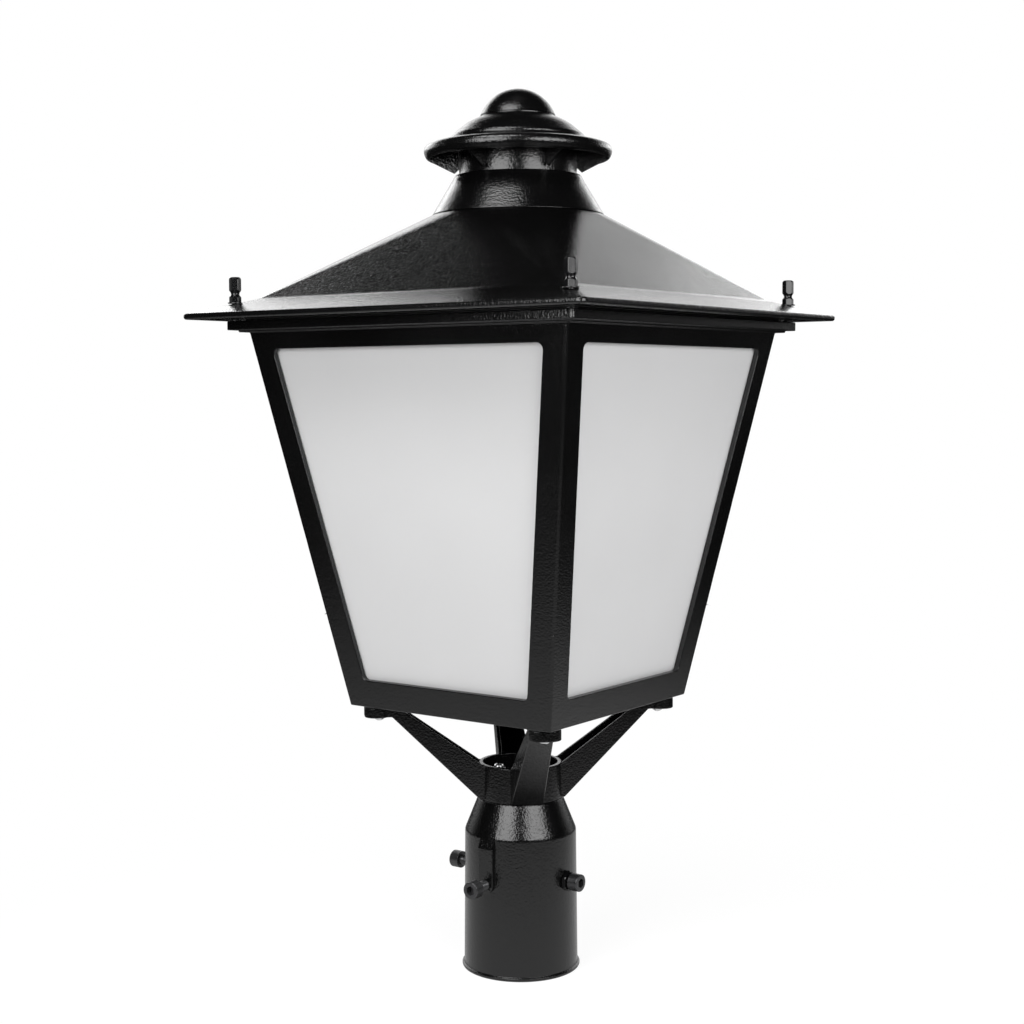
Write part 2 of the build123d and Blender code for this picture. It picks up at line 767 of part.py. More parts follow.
with BuildPart() as pane_retainers:
    for side in sides:
        with BuildSketch(pane_plane(side, frame_depth + strip_thickness)):
            with Locations((0, strip_low_y)):
                Rectangle(2 * strip_low_half, strip_width)
            with Locations((0, strip_high_y)):
                Rectangle(2 * strip_high_half, strip_width)
            with Locations(*strip_screw_points):
                RegularPolygon(m3_shank_r + screw_clearance, screw_sides, mode=Mode.SUBTRACT)
        extrude(amount=strip_thickness)
pane_retainers.part.label = "pane_retainers"

with BuildPart() as retainer_screws:
    strip_screw = pan_screw(m3_head_r, m3_head_height, m3_shank_r, strip_screw_length)
    for side in sides:
        seat = pane_plane(side, frame_depth + strip_thickness)
        for x, y in strip_screw_points:
            inward = Plane(origin=seat.from_local_coords((x, y, 0)), x_dir=seat.x_dir,
                           z_dir=-seat.z_dir)
            with Locations(inward.location):
                add(strip_screw)
retainer_screws.part.label = "retainer_screws"

# Floor tray, its screws and the cable gland
tray_screw_points = [(0, -tray_screw_offset), (0, tray_screw_offset),
                     (-tray_screw_offset, 0), (tray_screw_offset, 0)]
tray_wall_half = tray_half - tray_corner
with BuildPart() as floor_tray:
    with BuildSketch(Plane.XY.offset(floor_rim_z)):
        Rectangle(2 * tray_half, 2 * tray_half)
        chamfer(vertices(), tray_corner)
        with Locations(*tray_screw_points):
            RegularPolygon(m3_shank_r + screw_clearance, screw_sides, mode=Mode.SUBTRACT)
        with Locations((0, gland_y)):
            Circle(gland_r + gland_play, mode=Mode.SUBTRACT)
    extrude(amount=tray_thickness)
    with BuildSketch(Plane.XY.offset(floor_rim_z)):
        with PolarLocations(tray_half - tray_thickness / 2, 4):
            Rectangle(tray_thickness, 2 * tray_wall_half)
    extrude(amount=tray_lip)
floor_tray.part.label = "floor_tray"

with BuildPart() as tray_screws:
    tray_screw = pan_screw(m3_head_r, m3_head_height, m3_shank_r, tray_screw_length)
    with Locations((0, 0, floor_rim_z + tray_thickness)):
        with Locations(*tray_screw_points):
            add(tray_screw)
tray_screws.part.label = "tray_screws"

with BuildPart() as cable_gland:
    gland_low = floor_rim_z - gland_hex_height
    with BuildSketch(Plane.XY.offset(gland_low)):
        with Locations((0, gland_y)):
            RegularPolygon(gland_flats / 2, 6, major_radius=False)
    extrude(amount=gland_hex_height)
    with BuildSketch(Plane.XY.offset(gland_low)):
        with Locations((0, gland_y)):
            Circle(gland_r)
    extrude(amount=-gland_dome_height)
    with BuildSketch(Plane.XY.offset(floor_rim_z)):
        with Locations((0, gland_y)):
            Circle(gland_r)
    extrude(amount=tray_thickness + gland_nut_height + gland_thread_end)
    with BuildSketch(Plane.XY.offset(gland_low - gland_dome_height)):
        with Locations((0, gland_y)):
            Circle(gland_hole_r)
    extrude(amount=3 * gland_dome_height, mode=Mode.SUBTRACT)
cable_gland.part.label = "cable_gland"

with BuildPart() as gland_nut:
    with BuildSketch(Plane.XY.offset(floor_rim_z + tray_thickness)):
        with Locations((0, gland_y)):
            RegularPolygon(gland_flats / 2, 6, major_radius=False)
            Circle(gland_r + thread_fit, mode=Mode.SUBTRACT)
    extrude(amount=gland_nut_height)
gland_nut.part.label = "gland_nut"

# Roof: eave, sloping border and round-to-square body over a hollow
gear_boss_points = [(x, y) for x in (-gear_boss_offset, gear_boss_offset)
                    for y in (-gear_boss_offset, gear_boss_offset)]

with BuildPart() as roof_cavity:
    with BuildSketch(Plane.XY.offset(roof_low_z)):
        Polygon(*square_outline(cavity_half, cavity_corner_r), align=None)
    extrude(amount=crease_z - roof_wall - roof_low_z)
    add(square_frustum(crease_z - roof_wall, cavity_half, cavity_corner_r,
                       plate_z, cavity_top_half, cavity_top_half - roof_corner_play))
    with BuildSketch(Plane.XY.offset(gear_top_z)):
        with Locations(*gear_boss_points):
            Circle(gear_boss_r)
    extrude(amount=plate_z - gear_top_z, mode=Mode.SUBTRACT)

with BuildPart() as roof:
    add(square_frustum(roof_low_z, eave_half - lip_edge, eave_corner_r - lip_edge,
                       roof_low_z + lip_edge, eave_half, eave_corner_r))
    with BuildSketch(Plane.XY.offset(roof_low_z + lip_edge)):
        Polygon(*square_outline(eave_half, eave_corner_r), align=None)
    extrude(amount=eave_lip - lip_edge)
    add(square_frustum(lip_top_z, eave_half, eave_corner_r, crease_z, crease_half, crease_corner_r))
    add(square_frustum(crease_z, crease_half, crease_corner_r,
                       roof_top_z, roof_top_half, roof_top_half - roof_corner_play))
    add(roof_cavity.part, mode=Mode.SUBTRACT)
    with BuildSketch(Plane.XY.offset(plate_z)):
        Circle(roof_opening_r)
        with PolarLocations(cone_screw_pitch_r, 4, start_angle=45):
            RegularPolygon(m4_shank_r + screw_clearance, screw_sides)
    extrude(amount=roof_wall, mode=Mode.SUBTRACT)
    with BuildSketch(Plane.XY.offset(roof_low_z)):
        Rectangle(2 * drip_outer_half, 2 * drip_outer_half)
        Rectangle(2 * drip_inner_half, 2 * drip_inner_half, mode=Mode.SUBTRACT)
    extrude(amount=drip_depth, mode=Mode.SUBTRACT)
    with BuildSketch(Plane.XY.offset(stud_floor_z)):
        with GridLocations(2 * stud_offset, 2 * stud_offset, 2, 2):
            Circle(stud_recess_r)
    extrude(amount=stud_recess_r, mode=Mode.SUBTRACT)
    with BuildSketch(Plane.XY.offset(roof_low_z)):
        with GridLocations(2 * stud_offset, 2 * stud_offset, 2, 2):
            Circle(stud_hole_r)
    extrude(amount=crease_z - roof_low_z, mode=Mode.SUBTRACT)
    with BuildSketch(Plane.XY.offset(gear_top_z)):
        with Locations(*gear_boss_points):
            RegularPolygon(m4_shank_r + thread_fit, screw_sides)
    extrude(amount=gear_screw_length, mode=Mode.SUBTRACT)
roof.part.label = "roof"

with BuildPart() as roof_seal:
    with BuildSketch(Plane.XY.offset(flange_top_z)):
        Rectangle(2 * roof_seal_outer_half, 2 * roof_seal_outer_half)
        Rectangle(2 * roof_seal_inner_half, 2 * roof_seal_inner_half, mode=Mode.SUBTRACT)
    extrude(amount=seal_height)
roof_seal.part.label = "roof_seal"


def roof_stud(x, y):
    """Waisted hexagonal stud with a captive threaded shank."""
    low_top = stud_seat_z + stud_low_hex
    high_low = low_top + stud_neck
    with BuildPart() as stud:
        with BuildSketch(Plane.XY.offset(stud_seat_z)):
            RegularPolygon(stud_flats / 2, 6, major_radius=False, rotation=stud_turn)
        extrude(amount=stud_low_hex)
        chamfer(stud.faces().sort_by(Axis.Z)[-1].edges(), stud_taper)
        with BuildSketch(Plane.XY.offset(low_top)):
            Circle(stud_neck_r)
        extrude(amount=stud_neck)
        with BuildSketch(Plane.XY.offset(high_low)):
            RegularPolygon(stud_flats / 2, 6, major_radius=False, rotation=stud_turn)
        extrude(amount=stud_high_hex)
        chamfer(stud.faces().sort_by(Axis.Z)[-1].edges(), stud_taper)
        with BuildSketch(Plane.XY.offset(stud_seat_z)):
            Circle(stud_shank_r)
        extrude(amount=flange_top_z - stud_reach - stud_seat_z)
    return Pos(x, y, 0) * stud.part


stud_signs = {"front_right": (1, -1), "back_right": (1, 1), "back_left": (-1, 1),
              "front_left": (-1, -1)}
roof_studs = {}
for name, (x_sign, y_sign) in stud_signs.items():
    roof_studs[name] = roof_stud(x_sign * stud_offset, y_sign * stud_offset)
    roof_studs[name].label = f"roof_stud_{name}"

with BuildPart() as stud_washers:
    with BuildSketch(Plane.XY.offset(stud_floor_z)):
        with GridLocations(2 * stud_offset, 2 * stud_offset, 2, 2):
            RegularPolygon(stud_washer_r, ring_sides)
            RegularPolygon(stud_hole_r, ring_sides, mode=Mode.SUBTRACT)
    extrude(amount=stud_washer_height)
stud_washers.part.label = "stud_washers"

with BuildPart() as stud_clips:
    with BuildSketch(Plane.XY.offset(roof_low_z - clip_gap)):
        with GridLocations(2 * stud_offset, 2 * stud_offset, 2, 2):
            RegularPolygon(clip_outer_r, ring_sides)
            RegularPolygon(stud_shank_r + screw_clearance, ring_sides, mode=Mode.SUBTRACT)
    extrude(amount=-clip_thickness)
stud_clips.part.label = "stud_clips"


def cone_inner_r(height):
    """Inside radius of the vent cone's sloping wall at a height."""
    slope = (cone_base_r - cone_top_r) / (cone_slope_top_z - roof_top_z)
    return cone_base_r - slope * (height - roof_top_z) - cone_wall * hypot(1, slope)


# Vent cone with the ledge that carries the cap
with BuildPart() as vent_cone:
    with BuildSketch(Plane.XZ):
        with BuildLine():
            Polyline((cone_foot_r, roof_top_z), (cone_base_r, roof_top_z),
                     (cone_top_r, cone_slope_top_z), (cone_rim_r, cone_top_z),
                     (spigot_r + spigot_play, cone_top_z), (spigot_r + spigot_play, shelf_z),
                     (shelf_r, shelf_z), (shelf_r, shelf_low_z),
                     (cone_inner_r(shelf_low_z), shelf_low_z),
                     (cone_inner_r(roof_top_z + cone_foot), roof_top_z + cone_foot),
                     (cone_foot_r, roof_top_z + cone_foot), close=True)
        make_face()
    revolve()
    with BuildSketch(Plane.XY.offset(roof_top_z)):
        with PolarLocations(cone_screw_pitch_r, 4, start_angle=45):
            RegularPolygon(m4_shank_r + thread_fit, screw_sides)
    extrude(amount=cone_foot, mode=Mode.SUBTRACT)
vent_cone.part.label = "vent_cone"

with BuildPart() as cone_screws:
    cone_screw = pan_screw(m4_head_r, m4_head_height, m4_shank_r, cone_screw_length)
    for diagonal in diagonals:
        turned = Location((0, 0, plate_z), (0, 0, diagonal))
        with Locations(turned * Location((cone_screw_pitch_r, 0, 0), (180, 0, 0))):
            add(cone_screw)
cone_screws.part.label = "cone_screws"

# Cap: shallow crown, ring, brim with rolled lip, spigot and ribs
with BuildPart() as cap:
    with BuildSketch(Plane.XZ):
        with BuildLine():
            Polyline((rod_hole_r, cap_ceiling_z), (rod_hole_r, cap_land_z), (cap_land_r, cap_land_z))
            Polyline((cap_land_r, cap_land_z), (crown_mid_r, crown_mid_z),
                     (crown_edge_r, crown_edge_z), (crown_low_r, crown_low_z),
                     (ring_r, crown_low_z - ring_fall), (ring_r, ring_z),
                     (brim_root_r, brim_root_z), (brim_shoulder_r, brim_shoulder_z),
                     (brim_top_r, brim_top_z), (brim_r - brim_bevel, brim_mid_z + brim_bevel_rise),
                     (brim_r, brim_mid_z), (brim_r - brim_bevel, brim_mid_z - brim_bevel_rise),
                     (brim_low_r, brim_low_z), (brim_recess_r, brim_low_z),
                     (brim_recess_r, brim_recess_z), (spigot_r, brim_recess_z),
                     (spigot_r, shelf_z), (spigot_r - spigot_wall, shelf_z),
                     (spigot_r - spigot_wall, cap_ceiling_z), (rod_hole_r, cap_ceiling_z))
        make_face()
    revolve()
    for index in range(rib_count):
        with BuildSketch(meridian_plane(rib_turn + index * 360 / rib_count)):
            with BuildLine():
                Polyline((spigot_r - rib_bite, brim_recess_z), (rib_outer_r, brim_recess_z),
                         (rib_outer_r, rib_outer_z), (rib_tip_r, rib_tip_z),
                         (spigot_r - rib_bite, rib_root_z), close=True)
            make_face()
        extrude(amount=rib_thickness / 2, both=True)
cap.part.label = "cap"

dome_rise = finial_top_z - cap_land_z - finial_neck
dome_r = (finial_r ** 2 + dome_rise ** 2) / (2 * dome_rise)
dome_reach = asin(finial_r / dome_r)
dome_points = [(dome_r * sin(dome_reach * step / dome_steps),
                finial_top_z - dome_r * (1 - cos(dome_reach * step / dome_steps)))
               for step in range(dome_steps, -1, -1)]

with BuildPart() as finial:
    with BuildSketch(Plane.XZ):
        with BuildLine():
            Polyline((rod_r + thread_fit, rod_high_z), (rod_r + thread_fit, cap_land_z),
                     (finial_neck_r, cap_land_z), (finial_neck_r, cap_land_z + finial_neck),
                     *dome_points, (0, rod_high_z), close=True)
        make_face()
    revolve()
finial.part.label = "finial"

with BuildPart() as cap_rod:
    with BuildSketch(Plane.XY.offset(rod_low_z)):
        Circle(rod_r)
    extrude(amount=rod_high_z - rod_low_z - rod_end_gap)
cap_rod.part.label = "cap_rod"

with BuildPart() as cap_strap:
    with BuildSketch(Plane.XY.offset(strap_z)):
        SlotOverall(strap_length, strap_width)
        Circle(rod_hole_r, mode=Mode.SUBTRACT)
    extrude(amount=strap_thickness)
cap_strap.part.label = "cap_strap"

with BuildPart() as rod_nut:
    with BuildSketch(Plane.XY.offset(strap_z)):
        RegularPolygon(rod_nut_flats / 2, 6, major_radius=False)
        Circle(rod_r + thread_fit, mode=Mode.SUBTRACT)
    extrude(amount=-rod_nut_height)
rod_nut.part.label = "rod_nut"

# Gear tray under the roof
driver_feet = [(x_side * bracket_x, driver_y + y_side * (driver_width + bracket_foot) / 2)
               for x_side in (-1, 1) for y_side in (-1, 1)]
terminal_point = (terminal_x, driver_y)
earth_point = (earth_x, driver_y)

with BuildPart() as gear_tray:
    with BuildSketch(Plane.XY.offset(gear_tray_z)):
        RectangleRounded(2 * gear_tray_half, 2 * gear_tray_half, gear_tray_corner_r)
        with Locations(*gear_boss_points):
            RegularPolygon(m4_shank_r + screw_clearance, screw_sides, mode=Mode.SUBTRACT)
        with Locations(*driver_feet, earth_point):
            RegularPolygon(m3_shank_r + thread_fit, screw_sides, mode=Mode.SUBTRACT)
        with PolarLocations(ring_screw_offset, len(sides)):
            RegularPolygon(m3_shank_r + thread_fit, screw_sides, mode=Mode.SUBTRACT)
    extrude(amount=gear_tray_thickness)
gear_tray.part.label = "gear_tray"

with BuildPart() as gear_screws:
    gear_screw = pan_screw(m4_head_r, m4_head_height, m4_shank_r, gear_screw_length)
    for x, y in gear_boss_points:
        with Locations(Location((x, y, gear_tray_z), (180, 0, 0))):
            add(gear_screw)
gear_screws.part.label = "gear_screws"

with BuildPart() as light_board:
    with BuildSketch(Plane.XY.offset(gear_tray_z)):
        RectangleRounded(board_size, board_size, board_thickness)
    extrude(amount=-board_thickness)
light_board.part.label = "light_board"

with BuildPart() as light_chips:
    with BuildSketch(Plane.XY.offset(board_z)):
        with GridLocations(chip_pitch, chip_pitch, chip_rows, chip_rows):
            Rectangle(chip_size, chip_size)
    extrude(amount=-chip_height)
light_chips.part.label = "light_chips"


def lens_outline(growth, mode=Mode.ADD):
    """Rounded square that follows the lens at an even distance."""
    width = 2 * (lens_half + growth)
    RectangleRounded(width, width, lens_corner_r + growth, mode=mode)


with BuildPart() as lens:
    with BuildSketch(Plane.XY.offset(lens_low_z)):
        lens_outline(0)
    extrude(amount=lens_depth)
    chamfer(lens.faces().sort_by(Axis.Z)[0].edges(), lens_edge)
    with BuildSketch(Plane.XY.offset(gear_tray_z)):
        lens_outline(lens_flange)
    extrude(amount=-lens_rim)
    with BuildSketch(Plane.XY.offset(gear_tray_z)):
        lens_outline(-lens_wall)
    extrude(amount=lens_wall - lens_depth, mode=Mode.SUBTRACT)
lens.part.label = "lens"

with BuildPart() as lens_ring:
    with BuildSketch(Plane.XY.offset(ring_z_high)):
        lens_outline(lens_flange + ring_proud)
        lens_outline(ring_play, Mode.SUBTRACT)
    extrude(amount=-ring_thickness)
    with BuildSketch(Plane.XY.offset(ring_z_high)):
        lens_outline(lens_flange + ring_proud)
        lens_outline(lens_flange + ring_play, Mode.SUBTRACT)
    extrude(amount=lens_rim)
    with BuildSketch(Plane.XY.offset(gear_tray_z)):
        with PolarLocations(ring_screw_offset, len(sides)):
            RegularPolygon(m3_shank_r + screw_clearance, screw_sides)
    extrude(amount=-lens_rim - ring_thickness, mode=Mode.SUBTRACT)
lens_ring.part.label = "lens_ring"

with BuildPart() as lens_screws:
    lens_screw = pan_screw(m3_head_r, m3_head_height, m3_shank_r,
                           ring_thickness + lens_rim + gear_tray_thickness)
    for side in sides:
        turned = Location((0, 0, ring_z_high - ring_thickness), (0, 0, side))
        with Locations(turned * Location((ring_screw_offset, 0, 0), (180, 0, 0))):
            add(lens_screw)
lens_screws.part.label = "lens_screws"

with BuildPart() as heat_sink:
    with BuildSketch(Plane.XY.offset(gear_top_z)):
        with Locations((0, sink_y)):
            Rectangle(sink_width, sink_length)
    extrude(amount=sink_base)
    with BuildSketch(Plane.XY.offset(gear_top_z + sink_base)):
        fin_pitch = (sink_width - sink_fin_thickness) / (sink_fins - 1)
        with Locations((0, sink_y)):
            with GridLocations(fin_pitch, 1, sink_fins, 1):
                Rectangle(sink_fin_thickness, sink_length)
    extrude(amount=sink_fin_height)
heat_sink.part.label = "heat_sink"

with BuildPart() as driver:
    with BuildSketch(Plane.XY.offset(gear_top_z)):
        with Locations((0, driver_y)):
            Rectangle(driver_length, driver_width)
    extrude(amount=driver_height)
    fillet(driver.edges().filter_by(Axis.Z), driver_edge)
driver.part.label = "driver"

with BuildPart() as driver_brackets:
    top_z = gear_top_z + driver_height
    span = driver_width / 2
    foot_end = span + bracket_foot
    with BuildSketch(Plane.YZ):
        with BuildLine():
            Polyline((-foot_end, gear_top_z), (-span, gear_top_z), (-span, top_z),
                     (span, top_z), (span, gear_top_z), (foot_end, gear_top_z),
                     (foot_end, gear_top_z + bracket_thickness),
                     (span + bracket_thickness, gear_top_z + bracket_thickness),
                     (span + bracket_thickness, top_z + bracket_thickness),
                     (-span - bracket_thickness, top_z + bracket_thickness),
                     (-span - bracket_thickness, gear_top_z + bracket_thickness),
                     (-foot_end, gear_top_z + bracket_thickness), close=True)
        make_face()
    bracket = extrude(amount=bracket_width / 2, both=True, mode=Mode.PRIVATE)
    with Locations((-bracket_x, driver_y, 0), (bracket_x, driver_y, 0)):
        add(bracket)
    with BuildSketch(Plane.XY.offset(gear_top_z)):
        with Locations(*driver_feet):
            RegularPolygon(m3_shank_r + screw_clearance, screw_sides)
    extrude(amount=bracket_thickness, mode=Mode.SUBTRACT)
driver_brackets.part.label = "driver_brackets"

with BuildPart() as bracket_screws:
    bracket_screw = pan_screw(m3_head_r, m3_head_height, m3_shank_r, bracket_screw_length)
    with Locations((0, 0, gear_top_z + bracket_thickness)):
        with Locations(*driver_feet):
            add(bracket_screw)
bracket_screws.part.label = "bracket_screws"

with BuildPart() as terminal_block:
    with BuildSketch(Plane.XY.offset(gear_top_z)):
        with Locations(terminal_point):
            Rectangle(terminal_width, terminal_length)
    extrude(amount=terminal_height)
    with BuildSketch(Plane.XY.offset(gear_top_z + terminal_height)):
        with Locations(terminal_point):
            with GridLocations(1, terminal_length / terminal_ways, 1, terminal_ways):
                Circle(terminal_well_r)
    extrude(amount=-terminal_well_depth, mode=Mode.SUBTRACT)
terminal_block.part.label = "terminal_block"

with BuildPart() as earth_screw:
    with Locations((earth_x, driver_y, gear_top_z)):
        add(pan_screw(m3_head_r, m3_head_height, m3_shank_r, gear_tray_thickness))
earth_screw.part.label = "earth_screw"

pieces = [
    post_fitter.part, clamp_screw_front, clamp_screw_right, clamp_screw_back, clamp_screw_left,
    clamp_jam_nuts.part, arm_spider.part, hub_screws.part, arm_screws.part, arm_pads.part,
    cage_frame.part, *panes.values(), pane_seals.part, pane_retainers.part,
    retainer_screws.part, floor_tray.part, tray_screws.part, cable_gland.part, gland_nut.part,
    roof.part, roof_seal.part, *roof_studs.values(), stud_washers.part, stud_clips.part,
    vent_cone.part, cone_screws.part, cap.part, finial.part, cap_rod.part, cap_strap.part, rod_nut.part,
    gear_tray.part, gear_screws.part, light_board.part, light_chips.part, lens.part,
    lens_ring.part, lens_screws.part, heat_sink.part, driver.part, driver_brackets.part,
    bracket_screws.part, terminal_block.part, earth_screw.part,
]

os.makedirs("parts", exist_ok=True)
for piece in pieces:
    export_step(piece, f"parts/{piece.label}.step")
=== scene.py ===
import json
import math
from functools import partial

import bmesh
import bpy
from mathutils import Matrix, Vector

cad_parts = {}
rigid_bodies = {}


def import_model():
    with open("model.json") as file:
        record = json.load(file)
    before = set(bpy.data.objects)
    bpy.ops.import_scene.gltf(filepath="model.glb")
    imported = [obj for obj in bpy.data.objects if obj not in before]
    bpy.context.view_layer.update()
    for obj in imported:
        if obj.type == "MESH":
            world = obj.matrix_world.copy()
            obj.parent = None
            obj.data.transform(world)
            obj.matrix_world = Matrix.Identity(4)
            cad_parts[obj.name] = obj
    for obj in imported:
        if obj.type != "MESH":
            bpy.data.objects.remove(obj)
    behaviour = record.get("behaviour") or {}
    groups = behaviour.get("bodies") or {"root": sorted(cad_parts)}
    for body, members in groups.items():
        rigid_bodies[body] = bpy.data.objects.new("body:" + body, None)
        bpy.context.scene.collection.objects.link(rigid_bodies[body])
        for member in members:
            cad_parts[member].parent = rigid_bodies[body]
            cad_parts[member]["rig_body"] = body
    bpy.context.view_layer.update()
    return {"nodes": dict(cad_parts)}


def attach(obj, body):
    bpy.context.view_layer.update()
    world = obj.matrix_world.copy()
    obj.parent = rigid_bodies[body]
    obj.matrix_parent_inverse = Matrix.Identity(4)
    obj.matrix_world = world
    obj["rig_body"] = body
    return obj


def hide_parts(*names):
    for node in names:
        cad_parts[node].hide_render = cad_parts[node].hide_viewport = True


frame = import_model()

bl_info = {
    "name": "Post Top Lantern",
    "version": (1, 0, 0),
    "blender": (4, 5, 0),
    "location": "View3D > Sidebar > Lantern",
    "description": "Builds the castings, fasteners and finishes of a four-sided post top lantern",
    "category": "Object",
}

NODES = frame["nodes"]
MM = 0.001
WELD = 1e-6
CAD_WELD = 1e-5


# Values that a maker would change

class LanternFinish(bpy.types.PropertyGroup):
    """Colours and surface values of the lantern's finishes."""

    coat_colour: bpy.props.FloatVectorProperty(
        name="Coat colour", description="Colour of the black powder coat",
        subtype="COLOR", size=4, min=0.0, max=1.0, default=(0.002, 0.002, 0.0021, 1.0))
    coat_roughness: bpy.props.FloatProperty(
        name="Coat roughness", description="How broad the coat's highlights are",
        subtype="FACTOR", min=0.0, max=1.0, default=0.2)
    coat_gloss: bpy.props.FloatProperty(
        name="Coat gloss", description="How strongly the coat reflects",
        subtype="FACTOR", min=0.0, max=1.0, default=0.62)
    coat_grain: bpy.props.FloatProperty(
        name="Coat grain", description="Size of one pebble of the coat",
        subtype="DISTANCE", unit="LENGTH", min=0.0003, max=0.01, default=0.0014)
    coat_relief: bpy.props.FloatProperty(
        name="Coat relief", description="How deep the pebbled coat is",
        subtype="FACTOR", min=0.0, max=1.0, default=0.55)
    pane_colour: bpy.props.FloatVectorProperty(
        name="Pane colour", description="Colour of the frosted panes",
        subtype="COLOR", size=4, min=0.0, max=1.0, default=(0.6, 0.6, 0.604, 1.0))


class LanternShape(bpy.types.PropertyGroup):
    """Sizes of the fine forms that the castings and fasteners carry."""

    corner_steps: bpy.props.IntProperty(
        name="Corner steps", description="Faces in a quarter turn of a turned or square body",
        min=4, max=48, default=20)
    edge_steps: bpy.props.IntProperty(
        name="Edge steps", description="Faces across a rounded edge", min=1, max=8, default=4)
    casting_edge: bpy.props.FloatProperty(
        name="Casting edge", description="Width of the broken edges on the castings",
        subtype="DISTANCE", unit="LENGTH", min=0.0, max=0.003, default=0.0007)
    sheet_edge: bpy.props.FloatProperty(
        name="Sheet edge", description="Width of the broken edges on sheet and moulded pieces",
        subtype="DISTANCE", unit="LENGTH", min=0.0, max=0.002, default=0.0003)
    thread_pitch: bpy.props.FloatProperty(
        name="Thread pitch", description="Distance between the threads of a screw",
        subtype="DISTANCE", unit="LENGTH", min=0.0003, max=0.003, default=0.0008)
    rib_count: bpy.props.IntProperty(
        name="Cap ribs", description="Gussets between the cap's spigot and its brim",
        min=3, max=24, default=6)
    rib_turn: bpy.props.FloatProperty(
        name="Rib turn", description="Angle of the first gusset about the post",
        subtype="ANGLE", unit="ROTATION", default=math.radians(-86.5))


class LanternStage(bpy.types.PropertyGroup):
    """Camera and light values of the studio."""

    camera_place: bpy.props.FloatVectorProperty(
        name="Camera place", description="Where the camera stands",
        subtype="TRANSLATION", unit="LENGTH", size=3, default=(0.7681, -1.0591, 0.44924))
    camera_azimuth: bpy.props.FloatProperty(
        name="Camera azimuth", description="Turn of the line of sight about the post, from +Y",
        subtype="ANGLE", unit="ROTATION", default=math.radians(36.20))
    camera_pitch: bpy.props.FloatProperty(
        name="Camera pitch", description="How far the line of sight points down",
        subtype="ANGLE", unit="ROTATION", default=math.radians(4.08))
    camera_roll: bpy.props.FloatProperty(
        name="Camera roll", description="Turn of the camera about its line of sight",
        subtype="ANGLE", unit="ROTATION", default=math.radians(-0.24))
    camera_lens: bpy.props.FloatProperty(
        name="Lens", description="Focal length on a 36 mm wide sensor",
        min=10.0, max=200.0, default=59.64)
    lamp_level: bpy.props.FloatProperty(
        name="Lamp level", description="Brightness of all lamps together",
        min=0.0, max=4.0, default=1.0)


# Node trees

def put(tree, kind, values=None, **settings):
    """Adds a node, sets or links its inputs, and returns it."""
    node = tree.nodes.new(kind)
    for key, value in settings.items():
        setattr(node, key, value)
    for key, value in (values or {}).items():
        if isinstance(value, bpy.types.NodeSocket):
            tree.links.new(value, node.inputs[key])
        else:
            node.inputs[key].default_value = value
    return node


def calc(tree, operation, first, second=0.0):
    """Output of one Math node."""
    return put(tree, "ShaderNodeMath", {0: first, 1: second}, operation=operation).outputs[0]


def arithmetic(tree):
    """Shorthands for the sum, difference, product and quotient in a tree."""
    return [partial(calc, tree, kind) for kind in ("ADD", "SUBTRACT", "MULTIPLY", "DIVIDE")]


def geometry_tree(name, sizes):
    """An empty geometry tree with named inputs; returns the tree and its input sockets."""
    tree = bpy.data.node_groups.new(name, "GeometryNodeTree")
    face = tree.interface
    face.new_socket("Geometry", in_out="INPUT", socket_type="NodeSocketGeometry")
    for label, kind in sizes.items():
        face.new_socket(label, in_out="INPUT", socket_type="NodeSocket" + kind)
    face.new_socket("Material", in_out="INPUT", socket_type="NodeSocketMaterial")
    face.new_socket("Geometry", in_out="OUTPUT", socket_type="NodeSocketGeometry")
    return tree, put(tree, "NodeGroupInput").outputs


def finish_tree(tree, geometry, material):
    """Ends a geometry tree: real geometry with its material."""
    real = put(tree, "GeometryNodeRealizeInstances", {"Geometry": geometry})
    painted = put(tree, "GeometryNodeSetMaterial",
                  {"Geometry": real.outputs[0], "Material": material})
    put(tree, "NodeGroupOutput", {0: painted.outputs[0]})
    return tree


